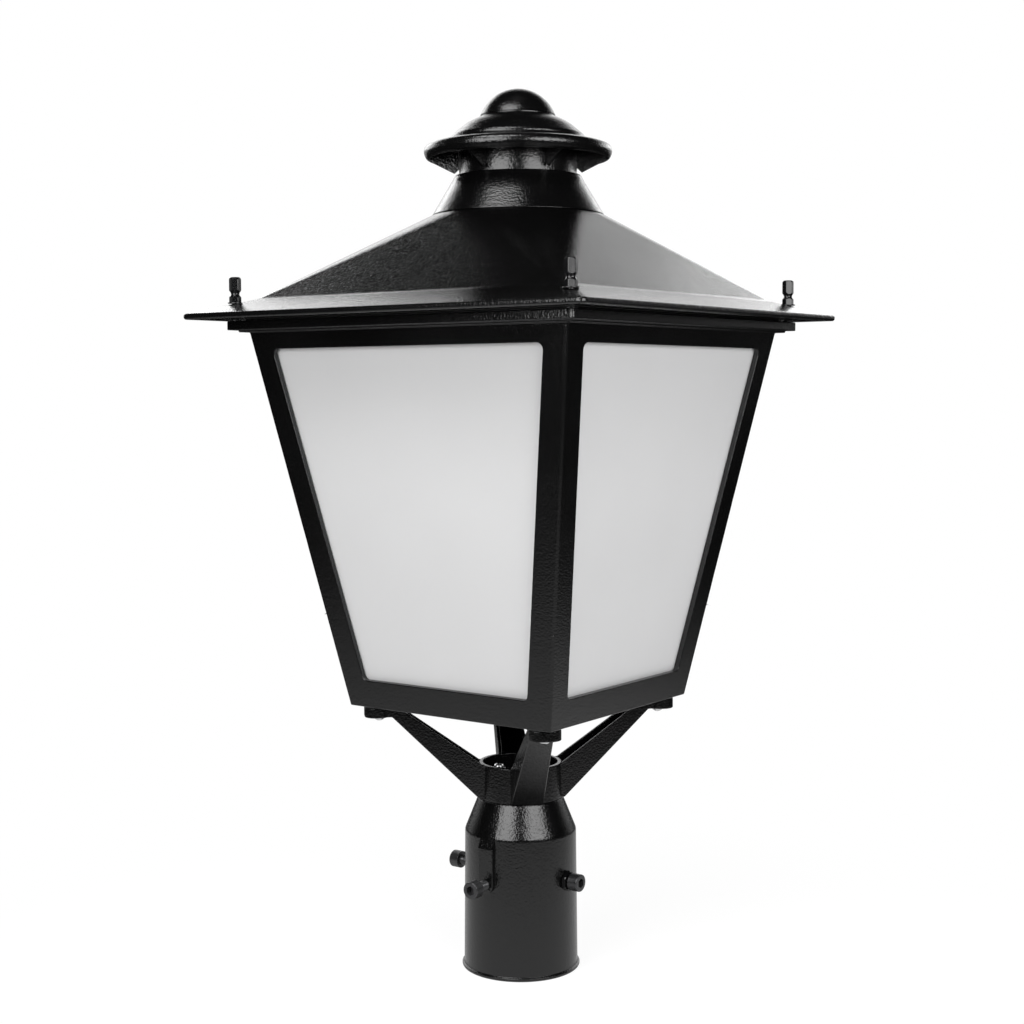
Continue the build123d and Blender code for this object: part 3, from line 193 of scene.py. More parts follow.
def outline_sweep_tree():
    """Turns a closed outline into a body round the post axis.

    Each point of the outline holds half a width, a corner radius and a height, so that one
    body can go from a square eave to a round top. Where the two radii agree it is turned."""
    tree, given = geometry_tree("outline_sweep", {"Corner steps": "Int"})
    plus, minus, times, over = arithmetic(tree)
    points = put(tree, "GeometryNodeAttributeDomainSize", {"Geometry": given["Geometry"]},
                 component="MESH").outputs["Point Count"]
    steps = given["Corner steps"]
    in_corner = plus(steps, 1.0)
    around = times(in_corner, 4.0)
    grid = put(tree, "GeometryNodeMeshGrid",
               {"Size X": 1.0, "Size Y": 1.0, "Vertices X": plus(points, 1.0),
                "Vertices Y": plus(around, 1.0)})
    place = put(tree, "GeometryNodeInputPosition").outputs[0]
    grid_x, grid_y, _ = put(tree, "ShaderNodeSeparateXYZ", {0: place}).outputs

    def counted(share, count):
        whole = calc(tree, "ROUND", times(plus(share, 0.5), count))
        return calc(tree, "FLOORED_MODULO", whole, count)

    along, across = counted(grid_x, points), counted(grid_y, around)
    quarter = calc(tree, "FLOOR", over(plus(across, 0.5), in_corner))
    step = minus(across, times(quarter, in_corner))
    angle = times(plus(quarter, over(step, steps)), math.pi / 2)
    middle = times(plus(quarter, 0.5), math.pi / 2)
    outline = put(tree, "GeometryNodeSampleIndex",
                  {"Geometry": given["Geometry"], "Index": along, "Value": place},
                  data_type="FLOAT_VECTOR", domain="POINT").outputs[0]
    half, corner, height = put(tree, "ShaderNodeSeparateXYZ", {0: outline}).outputs
    reach = times(minus(half, corner), math.sqrt(2))

    def spread(wave):
        return plus(times(reach, calc(tree, wave, middle)),
                    times(corner, calc(tree, wave, angle)))

    target = put(tree, "ShaderNodeCombineXYZ", {0: spread("COSINE"), 1: spread("SINE"), 2: height})
    moved = put(tree, "GeometryNodeSetPosition",
                {"Geometry": grid.outputs[0], "Position": target.outputs[0]})
    merged = put(tree, "GeometryNodeMergeByDistance",
                 {"Geometry": moved.outputs[0], "Distance": WELD})
    return finish_tree(tree, merged.outputs[0], given["Material"])


def ring_of_copies_tree():
    """Repeats a piece at equal turns about the post axis."""
    tree, given = geometry_tree("ring_of_copies", {"Count": "Int", "First turn": "Float"})
    plus, _, times, over = arithmetic(tree)
    index = put(tree, "GeometryNodeInputIndex").outputs[0]
    angle = plus(given["First turn"], times(over(index, given["Count"]), 2 * math.pi))
    turn = put(tree, "ShaderNodeCombineXYZ", {2: angle})
    points = put(tree, "GeometryNodePoints", {"Count": given["Count"]})
    copies = put(tree, "GeometryNodeInstanceOnPoints",
                 {"Points": points.outputs[0], "Instance": given["Geometry"],
                  "Rotation": turn.outputs[0]})
    return finish_tree(tree, copies.outputs[0], given["Material"])


def grid_of_copies_tree():
    """Repeats a piece in rows and columns about its own place."""
    tree, given = geometry_tree("grid_of_copies", {"Columns": "Int", "Rows": "Int",
                                                   "Pitch X": "Float", "Pitch Y": "Float"})
    _, minus, times, _ = arithmetic(tree)
    size = [times(given["Pitch " + side], minus(given[count], 1.0))
            for side, count in (("X", "Columns"), ("Y", "Rows"))]
    grid = put(tree, "GeometryNodeMeshGrid",
               {"Size X": size[0], "Size Y": size[1],
                "Vertices X": given["Columns"], "Vertices Y": given["Rows"]})
    copies = put(tree, "GeometryNodeInstanceOnPoints",
                 {"Points": grid.outputs[0], "Instance": given["Geometry"]})
    return finish_tree(tree, copies.outputs[0], given["Material"])


# Pan-head screw, as shares of its head: fall of the crown, taper of the side, and length,
# width and place of the cross recess. The thread's depth is a share of the shank radius
CROWN_FALL, SIDE_TAPER = 0.3, 0.24
CROSS_LENGTH, CROSS_WIDTH, CROSS_PLACE = 1.2, 0.26, 0.92
THREAD_DEPTH = 0.04


def pan_screw_tree():
    """Pan-head screws with a cross recess and a threaded shank, one at each point.

    The points' "out" attribute is the way the head faces; each screw has its own turn."""
    tree, given = geometry_tree(
        "pan_screws", {"Head radius": "Float", "Head height": "Float", "Shank radius": "Float",
                       "Length": "Float", "Thread pitch": "Float", "Seed": "Int"})
    plus, minus, times, over = arithmetic(tree)
    radius, height, length = given["Head radius"], given["Head height"], given["Length"]

    def vector(x=0.0, y=0.0, z=0.0):
        return put(tree, "ShaderNodeCombineXYZ", {0: x, 1: y, 2: z}).outputs[0]

    def reshaped(solid, places):
        return put(tree, "GeometryNodeSetPosition",
                   {"Geometry": solid.outputs["Mesh"], "Position": places}).outputs[0]

    place = put(tree, "GeometryNodeInputPosition").outputs[0]
    x, y, z = put(tree, "ShaderNodeSeparateXYZ", {0: place}).outputs
    rise = plus(over(z, height), 0.5)
    off_axis = put(tree, "ShaderNodeVectorMath", {0: vector(x, y)},
                   operation="LENGTH").outputs["Value"]
    crown = plus(times(calc(tree, "POWER", over(off_axis, radius), 2.0), -CROWN_FALL), 1.0)
    waist = plus(times(calc(tree, "POWER", rise, 3.0), -SIDE_TAPER), 1.0)
    head = put(tree, "GeometryNodeMeshCylinder",
               {"Vertices": 32, "Side Segments": 6, "Fill Segments": 4, "Radius": radius,
                "Depth": height}, fill_type="TRIANGLE_FAN")
    head = reshaped(head, vector(times(x, waist), times(y, waist),
                                 times(times(rise, crown), height)))
    cross = put(tree, "GeometryNodeMeshBoolean", operation="UNION", solver="EXACT")
    for long_way, short_way in ((CROSS_LENGTH, CROSS_WIDTH), (CROSS_WIDTH, CROSS_LENGTH)):
        size = vector(times(radius, long_way), times(radius, short_way), height)
        blade = put(tree, "GeometryNodeMeshCube", {"Size": size})
        raised = put(tree, "GeometryNodeTransform",
                     {"Geometry": blade.outputs["Mesh"],
                      "Translation": vector(z=times(height, CROSS_PLACE))})
        tree.links.new(raised.outputs[0], cross.inputs[1])
    recess = put(tree, "GeometryNodeMeshBoolean", {0: head, 1: cross.outputs[0]},
                 operation="DIFFERENCE", solver="EXACT")
    rings = plus(calc(tree, "ROUND", over(length, given["Thread pitch"])), 1.0)
    shank = put(tree, "GeometryNodeMeshCylinder",
                {"Vertices": 20, "Side Segments": times(rings, 2.0),
                 "Radius": given["Shank radius"], "Depth": length})
    turns = times(plus(over(z, length), 0.5), 2 * math.pi)
    wave = calc(tree, "COSINE", times(turns, rings))
    depth = plus(times(wave, THREAD_DEPTH), 1 - THREAD_DEPTH)
    shank = reshaped(shank, vector(times(x, depth), times(y, depth),
                                   minus(z, times(length, 0.5))))
    screw = put(tree, "GeometryNodeJoinGeometry")
    for part in (recess.outputs[0], shank):
        tree.links.new(part, screw.inputs[0])
    out = put(tree, "GeometryNodeInputNamedAttribute", {"Name": "out"}, data_type="FLOAT_VECTOR")
    face = put(tree, "FunctionNodeAlignRotationToVector", {"Vector": out.outputs[0]}, axis="Z")
    spin = put(tree, "FunctionNodeRandomValue", {2: 0.0, 3: math.pi / 2, "Seed": given["Seed"]},
               data_type="FLOAT")
    about = put(tree, "FunctionNodeAxisAngleToRotation",
                {"Axis": (0.0, 0.0, 1.0), "Angle": spin.outputs[1]})
    turned_screw = put(tree, "FunctionNodeRotateRotation",
                       {0: face.outputs[0], 1: about.outputs[0]}, rotation_space="LOCAL")
    copies = put(tree, "GeometryNodeInstanceOnPoints",
                 {"Points": given["Geometry"], "Instance": screw.outputs[0],
                  "Rotation": turned_screw.outputs[0]})
    return finish_tree(tree, copies.outputs[0], given["Material"])


# Meshes

def linked(name, data):
    """A new object in the scene that holds a mesh, a lamp or a camera."""
    piece = bpy.data.objects.new(name, data)
    bpy.context.scene.collection.objects.link(piece)
    return piece


def run_tree(mesh, tree, material, sizes):
    """The plain mesh that a geometry tree makes from a mesh."""
    holder = linked(mesh.name, mesh)
    modifier = holder.modifiers.new("tree", "NODES")
    modifier.node_group = tree
    values = dict(sizes, Material=material)
    for item in tree.interface.items_tree:
        if item.in_out == "INPUT" and item.name in values:
            modifier[item.identifier] = values[item.name]
    return taken(holder)


def taken(holder):
    """The evaluated mesh of an object, which is then removed."""
    bpy.context.view_layer.update()
    graph = bpy.context.evaluated_depsgraph_get()
    mesh = bpy.data.meshes.new_from_object(holder.evaluated_get(graph))
    bpy.data.objects.remove(holder)
    return mesh


def cleaned(mesh):
    """Merges doubles and points every face outwards."""
    work = bmesh.new()
    work.from_mesh(mesh)
    bmesh.ops.remove_doubles(work, verts=work.verts, dist=WELD)
    bmesh.ops.dissolve_degenerate(work, edges=work.edges, dist=WELD)
    bmesh.ops.recalc_face_normals(work, faces=work.faces)
    work.to_mesh(mesh)
    work.free()
    return mesh


def combined(first, second, operation):
    """Boolean of two closed meshes."""
    holder, tool = linked(first.name, first), linked("tool", second)
    modifier = holder.modifiers.new("boolean", "BOOLEAN")
    modifier.operation = operation
    modifier.solver = "EXACT"
    modifier.object = tool
    mesh = taken(holder)
    bpy.data.objects.remove(tool)
    return cleaned(mesh)


def mesh_of(name, work):
    """A new mesh from an edit mesh, which is then freed."""
    mesh = bpy.data.meshes.new(name)
    work.to_mesh(mesh)
    work.free()
    return mesh


def joined(name, meshes):
    """One mesh that holds several."""
    work = bmesh.new()
    for mesh in meshes:
        work.from_mesh(mesh)
    return mesh_of(name, work)


# The longest setback of a rounded corner, as a share of the side it lies on
SIDE_SHARE = 0.48


def softened(corners, edge_steps):
    """Closed outline with rounded corners.

    A corner is (half width, corner radius, height, setback) in millimetres."""
    outline = []
    for index, (half, corner, height, setback) in enumerate(corners):
        here = Vector((half, corner, height))
        if setback == 0:
            outline.append(here * MM)
            continue
        ends = []
        for other in (corners[index - 1], corners[(index + 1) % len(corners)]):
            way = Vector(other[:3]) - here
            ends.append(here + way * min(SIDE_SHARE, setback / math.hypot(way.x, way.z)))
        for step in range(edge_steps + 1):
            share = step / edge_steps
            bend = ends[0] * (1 - share) ** 2 + here * (2 * share * (1 - share))
            outline.append((bend + ends[1] * share ** 2) * MM)
    return outline


def turned(radii):
    """Corners of a turned body, from (radius, height, setback)."""
    return [(radius, radius, height, setback) for radius, height, setback in radii]


def swept(name, corners, material, corner_steps, edge_steps):
    """Closed body round the post axis from the corners of its outline."""
    outline = softened(corners, edge_steps)
    mesh = bpy.data.meshes.new(name)
    edges = [(index, (index + 1) % len(outline)) for index in range(len(outline))]
    mesh.from_pydata(outline, edges, [])
    body = run_tree(mesh, TREES["sweep"], material, {"Corner steps": corner_steps})
    return cleaned(body)


def prism(name, sides, radius, low, high, turn=0.0, place=(0.0, 0.0)):
    """Upright prism or cylinder, in millimetres."""
    work = bmesh.new()
    move = Matrix.Translation(Vector((place[0], place[1], (low + high) / 2)) * MM)
    spin = Matrix.Rotation(math.radians(turn), 4, "Z")
    bmesh.ops.create_cone(work, cap_ends=True, segments=sides, radius1=radius * MM,
                          radius2=radius * MM, depth=(high - low) * MM, matrix=move @ spin)
    return mesh_of(name, work)


# Angles in degrees: under the first, faces of a CAD mesh count as one flat face; over the
# second, an edge is broken and its shading is sharp
FLAT_ANGLE, SHARP_ANGLE = 0.6, 35.0


def edge_broken(node, width, steps):
    """Copy of a CAD node with its sharp edges rounded off."""
    work = bmesh.new()
    work.from_mesh(NODES[node].data)
    bmesh.ops.remove_doubles(work, verts=work.verts, dist=CAD_WELD)
    bmesh.ops.dissolve_limit(work, angle_limit=math.radians(FLAT_ANGLE), verts=work.verts,
                             edges=work.edges, delimit=set())
    holder = linked(node, mesh_of(node, work))
    bevel = holder.modifiers.new("edges", "BEVEL")
    bevel.width = width
    bevel.segments = steps
    bevel.limit_method = "ANGLE"
    bevel.angle_limit = math.radians(SHARP_ANGLE)
    bevel.use_clamp_overlap = False
    return cleaned(taken(holder))


def cast(name, corners):
    """A swept body in the coat, with the step counts of the lantern's shape values."""
    shape = bpy.context.scene.lantern_shape
    return swept(name, corners, FINISHES["coat"], shape.corner_steps, shape.edge_steps)


def fitted(name, mesh, node, finish, smooth=SHARP_ANGLE):
    """Makes the finished piece from its mesh: shading, finish, body and the node it replaces."""
    piece = linked(name, mesh)
    mesh.name = name
    mesh.materials.clear()
    mesh.materials.append(FINISHES[finish])
    mesh.shade_smooth()
    mesh.set_sharp_from_angle(angle=math.radians(smooth))
    weigh = piece.modifiers.new("normals", "WEIGHTED_NORMAL")
    weigh.keep_sharp = True
    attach(piece, NODES[node]["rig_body"])
    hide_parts(node)
    return piece


# Finishes

def new_material(name):
    """An empty material with its output node; returns the material, its tree and its output."""
    material = bpy.data.materials.new(name)
    material.use_nodes = True
    tree = material.node_tree
    tree.nodes.clear()
    return material, tree, tree.nodes.new("ShaderNodeOutputMaterial")


def noise(tree, scale, detail=2.0, roughness=0.5):
    """Noise on Object coordinates."""
    where = put(tree, "ShaderNodeTexCoord").outputs["Object"]
    return put(tree, "ShaderNodeTexNoise", {"Vector": where, "Scale": scale, "Detail": detail,
                                            "Roughness": roughness}).outputs["Fac"]


def ramp(tree, value, ends, results, kind="LINEAR"):
    """Maps the stretch of a value between two ends onto a range of results."""
    return put(tree, "ShaderNodeMapRange",
               {"Value": value, "From Min": ends[0], "From Max": ends[1],
                "To Min": results[0], "To Max": results[1]},
               interpolation_type=kind).outputs["Result"]


def spread_over(tree, value, low, high):
    """Maps a noise, which lies mostly between 0.3 and 0.7, onto a range."""
    return ramp(tree, value, (0.3, 0.7), (low, high))


def tinted(tree, colour, factor):
    """A colour made lighter and darker by a factor."""
    return put(tree, "ShaderNodeVectorMath", {0: colour[:3], "Scale": factor},
               operation="SCALE").outputs["Vector"]


# Powder coat: scale and weight of its broad flow and depth of its relief, against the grain,
# and how many of its fainter and stronger patches there are in a metre
FLOW_SCALE, FLOW_WEIGHT, RELIEF_DEPTH, PATCH_SCALE = 0.18, 0.3, 0.3, 14.0


def powder_coat(name, values):
    """Black powder coat with a pebbled skin."""
    material, tree, output = new_material(name)
    grain = values.coat_grain
    pebbles = noise(tree, 1.0 / grain, 1.0, 0.4)
    flow = noise(tree, FLOW_SCALE / grain)
    patches = noise(tree, PATCH_SCALE)
    relief = calc(tree, "ADD", pebbles, calc(tree, "MULTIPLY", flow, FLOW_WEIGHT))
    bump = put(tree, "ShaderNodeBump", {"Strength": values.coat_relief,
                                        "Distance": grain * RELIEF_DEPTH, "Height": relief})
    roughness = spread_over(tree, patches, values.coat_roughness - 0.02,
                            values.coat_roughness + 0.03)
    colour = tinted(tree, values.coat_colour, spread_over(tree, patches, 0.8, 1.3))
    shader = put(tree, "ShaderNodeBsdfPrincipled",
                 {"Base Color": colour, "Roughness": roughness,
                  "Specular IOR Level": values.coat_gloss, "Normal": bump.outputs[0]})
    tree.links.new(shader.outputs[0], output.inputs[0])
    return material


# Heights in metres between which the panes darken under the roof, and how far they do
PANE_SHADE_HEIGHTS, PANE_SHADE = (0.36, 0.5), (1.0, 0.84)


def frosted_pane(name, colour):
    """Frosted white sheet with a soft sheen, faint clouds and the shade under the roof."""
    material, tree, output = new_material(name)
    clouds = noise(tree, 9.0)
    grit = noise(tree, 1400.0, 1.0)
    bump = put(tree, "ShaderNodeBump", {"Strength": 0.05, "Distance": 0.0002, "Height": grit})
    where = put(tree, "ShaderNodeTexCoord").outputs["Object"]
    height = put(tree, "ShaderNodeSeparateXYZ", {0: where}).outputs[2]
    under_roof = ramp(tree, height, PANE_SHADE_HEIGHTS, PANE_SHADE, "SMOOTHSTEP")
    shade = calc(tree, "MULTIPLY", under_roof, spread_over(tree, clouds, 0.985, 1.015))
    shader = put(tree, "ShaderNodeBsdfPrincipled",
                 {"Base Color": tinted(tree, colour, shade),
                  "Roughness": spread_over(tree, clouds, 0.36, 0.44),
                  "Normal": bump.outputs[0]})
    tree.links.new(shader.outputs[0], output.inputs[0])
    return material


def plain_finish(name, colour, roughness, metallic=0.0, grain=900.0, relief=0.1):
    """Metal, plastic or rubber with fine mottling in its roughness and relief."""
    material, tree, output = new_material(name)
    mottle = noise(tree, grain, 3.0)
    wear = noise(tree, 60.0)
    bump = put(tree, "ShaderNodeBump", {"Strength": relief, "Distance": 0.0002, "Height": mottle})
    rough = calc(tree, "ADD", spread_over(tree, mottle, -0.04, 0.04),
                 spread_over(tree, wear, max(0.05, roughness - 0.03), roughness + 0.06))
    shader = put(tree, "ShaderNodeBsdfPrincipled",
                 {"Base Color": tinted(tree, colour, spread_over(tree, wear, 0.9, 1.08)),
                  "Metallic": metallic, "Roughness": rough, "Normal": bump.outputs[0]})
    tree.links.new(shader.outputs[0], output.inputs[0])
    return material


# The finishes, and the CAD nodes that have each finish
FINISH_NODES = {
    "coat": ["post_fitter", "arm_spider", "cage_frame", "roof", "vent_cone", "cap", "finial"],
    "stud": ["roof_stud_front_right", "roof_stud_back_right", "roof_stud_back_left",
             "roof_stud_front_left", "clamp_jam_nuts"],
    "oxide": ["clamp_screw_front", "clamp_screw_right", "clamp_screw_back", "clamp_screw_left"],
    "chrome": ["hub_screws", "arm_screws"],
    "zinc": ["retainer_screws", "tray_screws", "cone_screws", "gear_screws", "lens_screws",
             "bracket_screws", "cap_rod", "cap_strap", "rod_nut", "driver_brackets"],
    "dark_zinc": ["stud_washers", "stud_clips"],
    "pane": ["pane_front", "pane_right", "pane_back", "pane_left"],
    "rubber": ["pane_seals", "arm_pads", "roof_seal"],
    "aluminium": ["pane_retainers", "heat_sink"],
    "white_sheet": ["floor_tray", "gear_tray", "light_board", "lens_ring"],
    "black_plastic": ["cable_gland", "gland_nut"],
    "white_plastic": ["driver", "terminal_block"],
    "lens": ["lens"],
    "chip": ["light_chips"],
    "brass": ["earth_screw"],
}
FINISHES = {}
TREES = {}


class LANTERN_OT_finishes(bpy.types.Operator):
    """Makes the finishes and puts them on the CAD nodes"""

    bl_idname = "lantern.finishes"
    bl_label = "Lantern finishes"

    def execute(self, context):
        values = context.scene.lantern_finish
        FINISHES.update({
            "coat": powder_coat("powder_coat", values),
            "stud": plain_finish("black_enamel", (0.004, 0.004, 0.0045), 0.12, relief=0.03),
            "oxide": plain_finish("black_oxide", (0.075, 0.075, 0.078), 0.34, 0.75),
            "dark_zinc": plain_finish("dark_zinc", (0.035, 0.035, 0.036), 0.3, 0.8),
            "chrome": plain_finish("bright_steel", (0.78, 0.78, 0.79), 0.14, 1.0, relief=0.04),
            "zinc": plain_finish("zinc_steel", (0.5, 0.5, 0.51), 0.34, 1.0),
            "pane": frosted_pane("frosted_pane", values.pane_colour),
            "rubber": plain_finish("black_rubber", (0.012, 0.012, 0.012), 0.62),
            "aluminium": plain_finish("raw_aluminium", (0.62, 0.63, 0.65), 0.36, 1.0),
            "white_sheet": plain_finish("white_lacquer", (0.78, 0.78, 0.77), 0.4),
            "black_plastic": plain_finish("black_nylon", (0.018, 0.018, 0.019), 0.46),
            "white_plastic": plain_finish("white_nylon", (0.72, 0.72, 0.7), 0.42),
            "lens": plain_finish("clear_lens", (0.8, 0.82, 0.83), 0.16, relief=0.02),
            "chip": plain_finish("chip_gel", (0.78, 0.6, 0.1), 0.26),
            "brass": plain_finish("brass", (0.65, 0.47, 0.2), 0.28, 1.0),
        })
        for finish, names in FINISH_NODES.items():
            for name in names:
                slots = NODES[name].data.materials
                slots.clear()
                slots.append(FINISHES[finish])
        return {"FINISHED"}


class LANTERN_OT_trees(bpy.types.Operator):
    """Builds the geometry trees that the pieces share"""

    bl_idname = "lantern.trees"
    bl_label = "Geometry trees"

    def execute(self, context):
        TREES["sweep"] = outline_sweep_tree()
        TREES["ring"] = ring_of_copies_tree()
        TREES["grid"] = grid_of_copies_tree()
        TREES["pan_screws"] = pan_screw_tree()
        return {"FINISHED"}


# Round-to-square roof, in millimetres: (half width, corner radius, height, setback)
ROOF_OUTLINE = [
    (178.8, 3.8, 503.2, 0.5), (180.0, 5.0, 504.4, 0.6), (180.0, 5.0, 507.4, 1.4),
    (142.85, 9.0, 518.5, 2.5), (64.5, 64.0, 582.7, 1.2), (50.0, 50.0, 582.7, 0.6),
    (50.0, 50.0, 578.7, 0.6), (60.5, 60.0, 578.7, 1.5), (138.0, 6.0, 514.5, 2.0),
    (138.0, 6.0, 503.2, 0.5), (159.0, 1.0, 503.2, 0.4), (159.0, 1.0, 507.2, 0.4),
    (170.0, 1.0, 507.2, 0.4), (170.0, 1.0, 503.2, 0.4),
]
ROOF_BELOW, ROOF_ABOVE = 500.0, 524.0
STUD_PLACE, STUD_HOLE, STUD_RECESS, STUD_FLOOR = 151.5, 3.3, 7.2, 515.2
GEAR_BOSS_PLACE, GEAR_BOSS_RADIUS, GEAR_BOSS_LOW, GEAR_BOSS_TOP = 95.0, 5.5, 512.0, 546.0


def four_places(distance):
    """The corners of a square about the post axis."""
    return [(x, y) for x in (-distance, distance) for y in (-distance, distance)]


class LANTERN_OT_roof(bpy.types.Operator):
    """Makes the roof, from its square eave to its round top"""

    bl_idname = "lantern.roof"
    bl_label = "Roof"

    def execute(self, context):
        roof = cast("roof", ROOF_OUTLINE)
        bosses = [prism("boss", 32, GEAR_BOSS_RADIUS, GEAR_BOSS_LOW, GEAR_BOSS_TOP, place=place)
                  for place in four_places(GEAR_BOSS_PLACE)]
        roof = combined(roof, joined("bosses", bosses), "UNION")
        recess = [(0.0, ROOF_BELOW, 0.0), (STUD_HOLE, ROOF_BELOW, 0.0),
                  (STUD_HOLE, STUD_FLOOR, 0.4), (STUD_RECESS, STUD_FLOOR, 0.6),
                  (STUD_RECESS, ROOF_ABOVE, 0.0), (0.0, ROOF_ABOVE, 0.0)]
        seats = []
        for x, y in four_places(STUD_PLACE):
            seat = swept("seat", turned(recess), FINISHES["coat"], 8, 3)
            seat.transform(Matrix.Translation(Vector((x, y, 0)) * MM))
            seats.append(seat)
        roof = combined(roof, joined("seats", seats), "DIFFERENCE")
        fitted("roof_casting", roof, "roof", "coat", 30.0)
        return {"FINISHED"}


# Turned castings, in millimetres: (radius, height, setback)
CONE_OUTLINE = [
    (51.5, 582.7, 0.5), (65.6, 582.7, 0.6), (49.8, 609.1, 1.5), (48.4, 612.2, 0.9),
    (45.3, 612.2, 0.5), (45.3, 601.0, 0.0), (36.0, 601.0, 0.5), (36.0, 597.0, 0.5),
    (51.65, 597.0, 1.0), (57.51, 587.2, 1.0), (51.5, 587.2, 0.5),
]


class LANTERN_OT_vent_cone(bpy.types.Operator):
    """Makes the vent cone under the cap"""

    bl_idname = "lantern.vent_cone"
    bl_label = "Vent cone"

    def execute(self, context):
        fitted("vent_cone_casting", cast("cone", turned(CONE_OUTLINE)), "vent_cone", "coat")
        return {"FINISHED"}


CAP_OUTLINE = [
    (3.4, 640.0, 0.0), (3.4, 657.0, 0.4), (28.6, 657.0, 1.2), (40.0, 651.6, 5.5),
    (50.4, 642.6, 0.5), (51.2, 641.2, 0.4), (51.2, 639.6, 0.5),
    (52.6, 638.4, 0.8), (66.0, 636.0, 3.0), (70.9, 634.4, 3.0), (72.1, 630.0, 3.4),
    (69.7, 625.0, 2.0), (66.5, 625.0, 0.6), (66.5, 631.0, 1.0), (45.0, 631.0, 1.0),
    (45.0, 601.0, 0.4), (41.0, 601.0, 0.4), (41.0, 640.0, 1.0),
]
# A gusset of the cap: (distance from the axis, height)
RIB_OUTLINE = [(44.0, 631.4), (69.0, 631.4), (69.0, 625.0), (48.6, 614.8), (44.0, 619.0)]
RIB_THICKNESS, RIB_EDGE = 2.4, 0.35


def rib_plate():
    """One gusset of the cap, upright in the XZ plane, with broken edges."""
    work = bmesh.new()
    sides = []
    for y in (-RIB_THICKNESS / 2, RIB_THICKNESS / 2):
        sides.append([work.verts.new(Vector((x, y, z)) * MM) for x, z in RIB_OUTLINE])
    work.faces.new(sides[0])
    work.faces.new(reversed(sides[1]))
    for index in range(len(RIB_OUTLINE)):
        work.faces.new((sides[0][index - 1], sides[1][index - 1], sides[1][index],
                        sides[0][index]))
    bmesh.ops.recalc_face_normals(work, faces=work.faces)
    bmesh.ops.bevel(work, geom=work.edges[:], offset=RIB_EDGE * MM, segments=2, profile=0.5,
                    affect="EDGES")
    return mesh_of("rib", work)


class LANTERN_OT_cap(bpy.types.Operator):
    """Makes the cap with its crown, rolled brim, spigot and gussets"""

    bl_idname = "lantern.cap"
    bl_label = "Cap"

    def execute(self, context):
        shape = context.scene.lantern_shape
        cap = cast("cap", turned(CAP_OUTLINE))
        ribs = run_tree(rib_plate(), TREES["ring"], FINISHES["coat"],
                        {"Count": shape.rib_count, "First turn": shape.rib_turn})
        cap = combined(cap, ribs, "UNION")
        fitted("cap_casting", cap, "cap", "coat")
        return {"FINISHED"}


FINIAL_RADIUS, FINIAL_NECK, FINIAL_BORE = 28.5, 27.6, 3.1
FINIAL_SEAT, FINIAL_FOOT, FINIAL_BORE_TOP, FINIAL_TOP = 657.0, 658.2, 668.0, 677.99
DOME_STEPS = 14


class LANTERN_OT_finial(bpy.types.Operator):
    """Makes the domed finial"""

    bl_idname = "lantern.finial"
    bl_label = "Finial"

    def execute(self, context):
        rise = FINIAL_TOP - FINIAL_FOOT
        radius = (FINIAL_RADIUS ** 2 + rise ** 2) / (2 * rise)
        reach = math.asin(FINIAL_RADIUS / radius)
        outline = [(FINIAL_BORE, FINIAL_BORE_TOP, 0.0), (FINIAL_BORE, FINIAL_SEAT, 0.3),
                   (FINIAL_NECK, FINIAL_SEAT, 0.3), (FINIAL_NECK, FINIAL_FOOT - 0.3, 0.2)]
        for step in range(DOME_STEPS, -1, -1):
            angle = reach * step / DOME_STEPS
            outline.append((radius * math.sin(angle),
                            FINIAL_TOP - radius * (1 - math.cos(angle)), 0.0))
        outline.append((0.0, FINIAL_BORE_TOP, 0.0))
        fitted("finial_dome", cast("finial", turned(outline)), "finial", "coat")
        return {"FINISHED"}


class LANTERN_OT_castings(bpy.types.Operator):
    """Breaks the edges of the cage and the arm spider"""

    bl_idname = "lantern.castings"
    bl_label = "Cage and arms"

    def execute(self, context):
        shape = context.scene.lantern_shape
        for node in ("cage_frame", "arm_spider"):
            mesh = edge_broken(node, shape.casting_edge, 3)
            fitted(node + "_casting", mesh, node, "coat")
        return {"FINISHED"}


class LANTERN_OT_panes(bpy.types.Operator):
    """Breaks the edges of the frosted panes"""

    bl_idname = "lantern.panes"
    bl_label = "Frosted panes"

    def execute(self, context):
        shape = context.scene.lantern_shape
        for side in ("front", "right", "back", "left"):
            mesh = edge_broken("pane_" + side, shape.sheet_edge, 2)
            fitted("frosted_sheet_" + side, mesh, "pane_" + side, "pane")
        return {"FINISHED"}


# Finish and edge width, in millimetres, of the sheet, moulded and machined pieces
FINE_EDGES = {
    "driver": ("white_plastic", 0.6), "terminal_block": ("white_plastic", 0.4),
    "lens": ("lens", 0.4), "lens_ring": ("white_sheet", 0.25),
    "floor_tray": ("white_sheet", 0.25), "gear_tray": ("white_sheet", 0.3),
    "light_board": ("white_sheet", 0.2), "cable_gland": ("black_plastic", 0.5),
    "gland_nut": ("black_plastic", 0.5), "cap_strap": ("zinc", 0.4), "rod_nut": ("zinc", 0.4),
    "driver_brackets": ("zinc", 0.2), "pane_retainers": ("aluminium", 0.25),
    "stud_washers": ("dark_zinc", 0.12), "arm_pads": ("rubber", 0.3),
}


class LANTERN_OT_fine_edges(bpy.types.Operator):
    """Breaks the edges of the sheet, moulded and machined pieces"""

    bl_idname = "lantern.fine_edges"
    bl_label = "Sheet and moulded pieces"

    def execute(self, context):
        for node, (finish, width) in FINE_EDGES.items():
            fitted(node + "_piece", edge_broken(node, width * MM, 2), node, finish)
        return {"FINISHED"}


